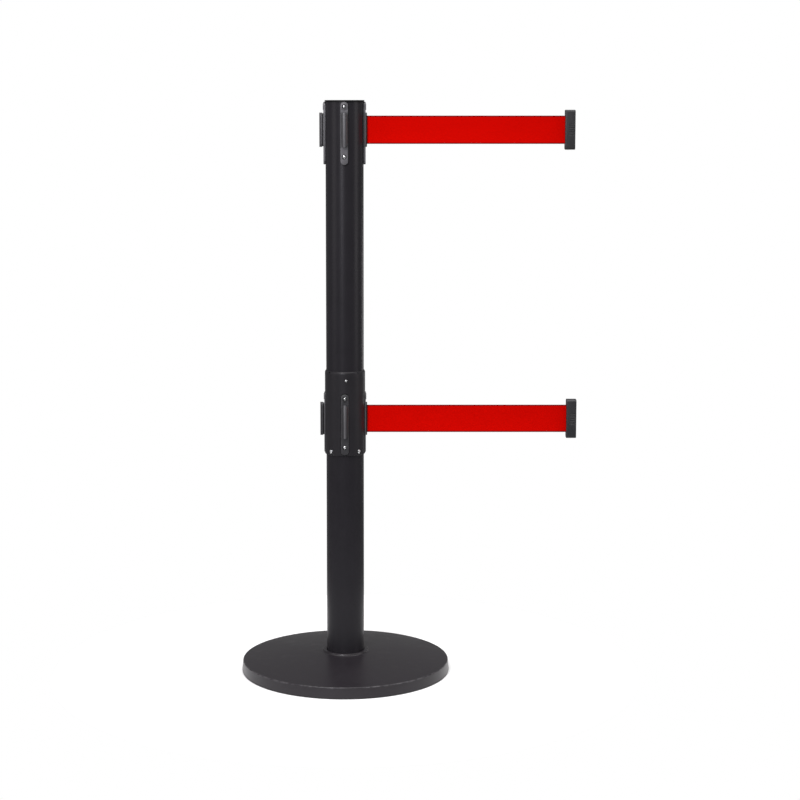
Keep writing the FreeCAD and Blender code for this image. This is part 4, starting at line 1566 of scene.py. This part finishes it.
@dataclass
class Belt:
    """The webbing's free run, from the spool past the guide pins to the loop in its clip."""

    shop: Workshop
    head: Head
    thickness: float = 0.5 * MM
    coil_radius: float = 23.98 * MM
    pin_x: float = 28.15 * MM
    pin_y: float = 1.54 * MM
    clip_pin_x: float = 5.4 * MM
    loop_radius: float = 1.87 * MM
    loop_opening: float = 52.0
    hem: float = 2.3 * MM
    bead: float = 0.06 * MM
    selvedge_rows: tuple[float, ...] = (0.0, 0.4 * MM, 1.5 * MM, 2.0 * MM)
    row_reach: float = 0.05 * MM

    @property
    def end(self) -> float:
        """Where the clip's back face is at rest."""
        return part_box(f"clip_back_{self.head.level.value}")[0].x

    def _route(self) -> Outline:
        """The belt's middle line in plan.

        Returns:
            The (x, y) points, off the coil, round a guide pin, out, and round the clip's pin.
        """
        reach = math.hypot(self.pin_x, self.pin_y)
        angle = math.atan2(self.pin_y, self.pin_x) + math.acos((self.coil_radius + self.pin_y) / reach)
        start = (self.coil_radius * math.cos(angle), self.coil_radius * math.sin(angle))
        first = math.degrees(angle) - 180
        round_pin = arc((self.pin_x, self.pin_y), self.pin_y, first, -90, 6)
        centre = self.end + self.clip_pin_x
        hem_x = self.end + self.hem
        swing = 180 - self.loop_opening
        loop = arc((centre, 0.0), self.loop_radius, swing, -swing, 18)
        fold = (hem_x + 0.4 * MM, -self.thickness * 1.05)
        return [start, *round_pin, (hem_x, 0.0), *loop, fold]

    def build(self) -> None:
        """Draws the route, raises it to the belt's width and gives it its thickness."""
        level = self.head.level
        name = f"belt_webbing_{level.value}"
        half, height = self.head.belt_half, self.head.height
        route = self._route()
        levels = [row - half for row in self.selvedge_rows]
        levels += [-value for value in reversed(levels)]
        piece = Bench.trace(name, [(x, y, height - half) for x, y in route])
        bpy.ops.mesh.select_all(action="SELECT")
        for below, above in zip(levels, levels[1:]):
            bpy.ops.mesh.extrude_region_move(TRANSFORM_OT_translate={"value": (0, 0, above - below)})
        bpy.ops.object.mode_set(mode="OBJECT")
        Bench.modified(piece, "SOLIDIFY", thickness=self.thickness, offset=0.0, use_even_offset=True)
        Bench.edit(piece)
        Bench.close(piece)
        self._beads(piece, [height + value for value in (levels[1], levels[2], levels[5], levels[6])])
        weave = Webbing(name, height, half).material()
        self.shop.finish(piece, "belt_webbing", weave, f"belt_{level.value}")
        start, end = (self.pin_x, 0, height), (self.end + self.hem, 0, height)
        Body.STAND.at()
        Body.BELT_END.at(level)
        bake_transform(piece)

    def _beads(self, piece: bpy.types.Object, rows: Sequence[float]) -> None:
        """Fattens the rows of the selvedge.

        Args:
            piece: the belt.
            rows: the heights of the rows.
        """

        def along_row(one: Vector, other: Vector) -> bool:
            """Whether an edge lies along a row."""
            return any(max(abs(one.z - row), abs(other.z - row)) < self.row_reach for row in rows)

        Bench.edit(piece)
        Bench.choose_edges(piece, along_row)
        bpy.ops.transform.shrink_fatten(value=self.bead)
        bpy.ops.mesh.select_mode(type="VERT")
        bpy.ops.object.mode_set(mode="OBJECT")


@dataclass
class Clip:
    """The belt's end: a housing that slides down over a rail, and the back that holds the belt."""

    shop: Workshop
    belt: Belt
    width: float = 17.0 * MM
    corner: float = 4.0 * MM
    edge: float = 1.0 * MM
    channel_start: float = 10.0 * MM
    channel_lip: float = 15.2 * MM
    channel_width: float = 10.4 * MM
    mouth_width: float = 5.6 * MM
    channel_top: float = 29.6 * MM
    chamber_end: float = 8.0 * MM
    chamber_width: float = 8.0 * MM
    chamber_half: float = 25.0 * MM
    pin_hole: float = 1.55 * MM
    pin_half: float = 26.95 * MM
    screw_heights: tuple[float, float] = (-29.2 * MM, 29.2 * MM)
    screw_bore: float = 1.2 * MM
    screw_reach: float = 9.0 * MM
    screw_hole: float = 1.3 * MM
    screw_seat: float = 2.5 * MM
    seat_depth: float = 1.3 * MM
    slot_half: float = 0.7 * MM
    slot_play: float = 0.6 * MM
    grip_ribs: int = 7
    grip_radius: float = 1.1 * MM
    grip_pitch: float = 3.0 * MM
    grip_depth: float = 0.55 * MM

    def _outline(self) -> Outline:
        """The clip's rounded outline, seen along the belt.

        Returns:
            The (y, z) points, with the belt's middle at height 0.
        """
        low, high = self._span()
        half, corner = self.width / 2, self.corner
        corners = [(half - corner, low + corner, 270), (half - corner, high - corner, 0)]
        corners += [(corner - half, high - corner, 90), (corner - half, low + corner, 180)]
        return [point for y, z, turn in corners for point in arc((y, z), corner, turn, turn + 90, 6)]

    def _span(self) -> tuple[float, float]:
        """The clip's lowest and highest point, from the belt's middle."""
        low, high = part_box(f"clip_housing_{self.belt.head.level.value}")
        return low.z - self.belt.head.height, high.z - self.belt.head.height

    def build(self) -> None:
        """Builds the housing and the back, and dresses the pin and the screws."""
        level = self.belt.head.level
        place = (self.belt.end, 0.0, self.belt.head.height)
        body = Body.BELT_END.at(level)
        for part, master in (("housing", self._housing()), ("back", self._back())):
            piece = Bench.copied(master, f"clip_{part}_{level.value}_moulding", 0.0, place)
            Bench.discard([master])
            self.shop.fit(piece, "clip_plastic", body, f"clip_{part}_{level.value}")
        self.shop.dress("zinc_steel", f"clip_pin_{level.value}")
        self.shop.dress("black_screw", f"clip_screws_{level.value}")

    def _hollows(self) -> list[bpy.types.Object]:
        """What both halves are hollowed by.

        Returns:
            Cutters for the belt's chamber and the pin's hole.
        """
        half = self.chamber_width / 2
        low = (2.0 * MM, -half, -self.chamber_half)
        chamber = Bench.block("chamber", low, (self.chamber_end, half, self.chamber_half))
        pin = Bench.post_round("pin", self.pin_hole, -self.pin_half, self.pin_half, self.belt.clip_pin_x, 32)
        return [chamber, pin]

    def _housing(self) -> bpy.types.Object:
        """The front half of the clip.

        Returns:
            The half, with the rail's channel, its mouth and grips on both cheeks.
        """
        low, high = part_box(f"clip_housing_{self.belt.head.level.value}")
        start, end = low.x - self.belt.end, high.x - self.belt.end
        housing = Bench.prism("housing", self._outline(), start, end, self.edge)
        foot = self._span()[0] - MM
        half, mouth = self.channel_width / 2, self.mouth_width / 2
        channel_low = (self.channel_start, -half, foot)
        cutters = [Bench.block("channel", channel_low, (self.channel_lip, half, self.channel_top))]
        mouth_low = (self.channel_lip - MM, -mouth, foot)
        cutters.append(Bench.block("mouth", mouth_low, (end + MM, mouth, self.channel_top)))
        for height in self.screw_heights:
            cutters.append(Bench.rod("screw", self.screw_bore, 0.0, self.screw_reach, height))
        return Bench.combine(housing, self._hollows() + cutters + self._grips(start, end))

    def _grips(self, start: float, end: float) -> list[bpy.types.Object]:
        """Shallow grooves across both cheeks, for the fingers.

        Args:
            start: the housing's back, from the clip's back face.
            end: the housing's front.

        Returns:
            The cutters.
        """
        cutters = []
        radius = self.grip_radius
        depth = self.width / 2 + radius - self.grip_depth
        for row in range(self.grip_ribs):
            height = (row - (self.grip_ribs - 1) / 2) * self.grip_pitch
            for side in (-1, 1):
                groove = Bench.rod("groove", radius, start + 2.0 * MM, end - 2.2 * MM, height, 20)
                cutters.append(Bench.copied(groove, "groove", 0.0, (0.0, side * depth, 0.0)))
                Bench.discard([groove])
        return cutters

    def _back(self) -> bpy.types.Object:
        """The back half of the clip.

        Returns:
            A plate with the belt's slot and two sunk screw seats.
        """
        low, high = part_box(f"clip_back_{self.belt.head.level.value}")
        thickness = high.x - low.x
        back = Bench.prism("back", self._outline(), 0.0, thickness)
        Bench.edit(back)
        Bench.choose_edges(back, lambda a, b: max(a.x, b.x) < WELD)
        bpy.ops.mesh.bevel(offset=self.edge, segments=3, affect="EDGES")
        Bench.close(back)
        reach = self.belt.head.belt_half + self.slot_play
        slot_low = (-MM, -self.slot_half, -reach)
        cutters = [Bench.block("slot", slot_low, (4.0 * MM, self.slot_half, reach))]
        for height in self.screw_heights:
            cutters.append(Bench.rod("hole", self.screw_hole, -MM, thickness + MM, height))
            cutters.append(Bench.rod("seat", self.screw_seat, -MM, self.seat_depth, height))
        return Bench.combine(back, self._hollows() + cutters)


@dataclass
class Cassette:
    """What one head hides inside the tube: the spool, its spring and the case round them."""

    shop: Workshop
    head: Head
    hub: float = 9.05 * MM
    turns: int = 26
    sink: float = 0.15 * MM

    def build(self) -> None:
        """Dresses the frame's own nodes and winds the belt on the spool."""
        parts = {
            "inner_plastic": ("cassette_body", "cassette_lid", "spool"),
            "spring_steel": ("mainspring",),
            "zinc_steel": ("spool_shaft", "lid_screws", "spring_cover"),
            "bush_plastic": ("spool_bushes",),
        }
        for slot, names in parts.items():
            self.shop.dress(slot, *(f"{name}_{self.head.level.value}" for name in names))
        self._winding()

    def _winding(self) -> None:
        """The belt wound on the hub, each turn a ridge on the roll's two ends."""
        level = self.head.level
        node = f"belt_coil_{level.value}"
        low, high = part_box(node)
        pitch = (high.x - self.hub) / self.turns
        valley = high.z - self.sink
        top = [(self.hub, valley)]
        for turn in range(self.turns):
            top += [(self.hub + (turn + 0.5) * pitch, high.z), (self.hub + (turn + 1) * pitch, valley)]
        bottom = [(radius, low.z + high.z - height) for radius, height in reversed(top)]
        roll = Bench.turned(f"belt_roll_{level.value}", top + bottom, 96)
        weave = Webbing(f"belt_roll_{level.value}", self.head.height, self.head.belt_half).material()
        self.shop.finish(roll, "belt_webbing", weave, node)
        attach(roll, Body.SPOOL_UNIT.at(level))


# Studio

def placed(name: str, data: bpy.types.ID) -> bpy.types.Object:
    """A lamp or a camera as an object of the scene.

    Args:
        name: the object's name.
        data: its lamp or camera data.

    Returns:
        The object, at the origin.
    """
    thing = bpy.data.objects.new(name, data)
    bpy.context.scene.collection.objects.link(thing)
    return thing


@dataclass(frozen=True)
class SoftBox:
    """A soft light that stands round the post and faces its axis."""

    name: str
    azimuth: float
    distance: float
    height: float
    width: float
    tall: float
    power: float
    tint: Colour = (1.0, 0.96, 0.98)
    aim_height: float = 0.5

    def build(self) -> None:
        """Sets the light up."""
        lamp = bpy.data.lights.new(self.name, "AREA")
        lamp.color = self.tint
        lamp.shape = "RECTANGLE"
        lamp.size = self.width
        lamp.size_y = self.tall
        lamp.energy = self.power
        light = placed(self.name, lamp)
        turn = math.radians(self.azimuth)
        light.location = (self.distance * math.cos(turn), self.distance * math.sin(turn), self.height)
        aim = Vector((0, 0, self.aim_height)) - light.location
        light.rotation_mode = "QUATERNION"
        light.rotation_quaternion = aim.to_track_quat("-Z", "Y")


@dataclass
class Studio:
    """The camera, the pale floor and the soft light."""

    eye: Point = (0.0524, -3.291, 0.981)
    look_down: float = 7.48
    lens: float = 88.4
    frame_side: float = 0.03
    frame_drop: float = -0.0588
    floor_radius: float = 0.5
    floor_colour: Colour = (0.9, 0.9, 0.9)
    room_light: float = 0.235
    overhead: float = 2.9

    def build(self) -> None:
        """Sets up the camera, the floor, the room and the lights."""
        self._camera()
        self._floor()
        self._room()
        for box in self._boxes():
            box.build()

    def _boxes(self) -> list[SoftBox]:
        """The soft boxes round the post.

        Returns:
            The boxes, with their azimuth, distance, height, width, tallness and power.
        """
        return [
            SoftBox("front_strip", 254.0, 2.6, 1.25, 0.35, 1.2, 22.0, (0.92, 0.91, 1.0)),
            SoftBox("left_box", 205.0, 2.4, 1.1, 1.1, 1.6, 9.0),
            SoftBox("right_box", 345.0, 2.4, 1.0, 0.9, 1.6, 10.0),
            SoftBox("top_box", 248.0, 1.6, 1.95, 0.3, 0.3, 18.0, aim_height=0.7),
            SoftBox("right_low", 50.0, 2.6, 0.3, 0.6, 0.5, 2.0, aim_height=0.2),
        ]

    def _camera(self) -> None:
        """The scene's own camera, which stands level and looks slightly down."""
        data = bpy.data.cameras.new("camera")
        data.sensor_width = 36.0
        data.lens = self.lens
        data.shift_x = self.frame_side
        data.shift_y = self.frame_drop
        data.clip_end = 60.0
        camera = placed("camera", data)
        camera.location = self.eye
        camera.rotation_euler = (math.radians(90.0 - self.look_down), 0.0, 0.0)
        bpy.context.scene.camera = camera

    def _floor(self) -> None:
        """A round pale floor."""
        Bench.clear()
        bpy.ops.mesh.primitive_circle_add(vertices=96, radius=self.floor_radius, fill_type="NGON")
        floor = bpy.context.object
        floor.name = "floor"
        graph = Graph("pale_floor")
        graph.fix(Specular_IOR_Level=0.1)
        tone = graph.noise(0.4, 2.0)
        colour = graph.mix(tone, self.floor_colour, shade(self.floor_colour, 1.02))
        graph.dress(colour, 0.8 + 0.1 * tone, tone, 0.01 * MM)
        floor.data.materials.append(graph.material)

    def _room(self) -> None:
        """A white room that lights the object less than it shows, and a broad light overhead."""
        world = bpy.data.worlds.new("room")
        world.use_nodes = True
        bpy.context.scene.world = world
        bpy.context.scene.view_settings.view_transform = "Standard"
        nodes, links = world.node_tree.nodes, world.node_tree.links
        background = nodes["Background"]
        background.inputs["Color"].default_value = (1.0, 1.0, 1.0, 1.0)
        path = nodes.new("ShaderNodeLightPath")
        level = nodes.new("ShaderNodeMapRange")
        level.inputs["To Min"].default_value = self.room_light
        level.inputs["To Max"].default_value = 1.0
        links.new(path.outputs["Is Camera Ray"], level.inputs["Value"])
        links.new(level.outputs["Result"], background.inputs["Strength"])
        sun = bpy.data.lights.new("overhead", "SUN")
        sun.energy = self.overhead
        sun.angle = math.radians(70)
        light = placed("overhead", sun)
        light.rotation_euler = (math.radians(8), math.radians(6), 0)


def main() -> None:
    """Builds the stanchion round its frame, then the studio."""
    logging.basicConfig(level=logging.INFO, format="%(message)s")
    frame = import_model()
    shop = Workshop(frame, mixed_finishes())
    heads = [Head(shop, level) for level in Level]
    Base(shop).build()
    Post(shop).build(heads)
    for head in heads:
        head.build()
        belt = Belt(shop, head)
        belt.build()
        Clip(shop, belt).build()
        Cassette(shop, head).build()
    Studio().build()
    Bench.clear()
    LOG.info("%d pieces built", shop.count)


if __name__ == "__main__":
    main()
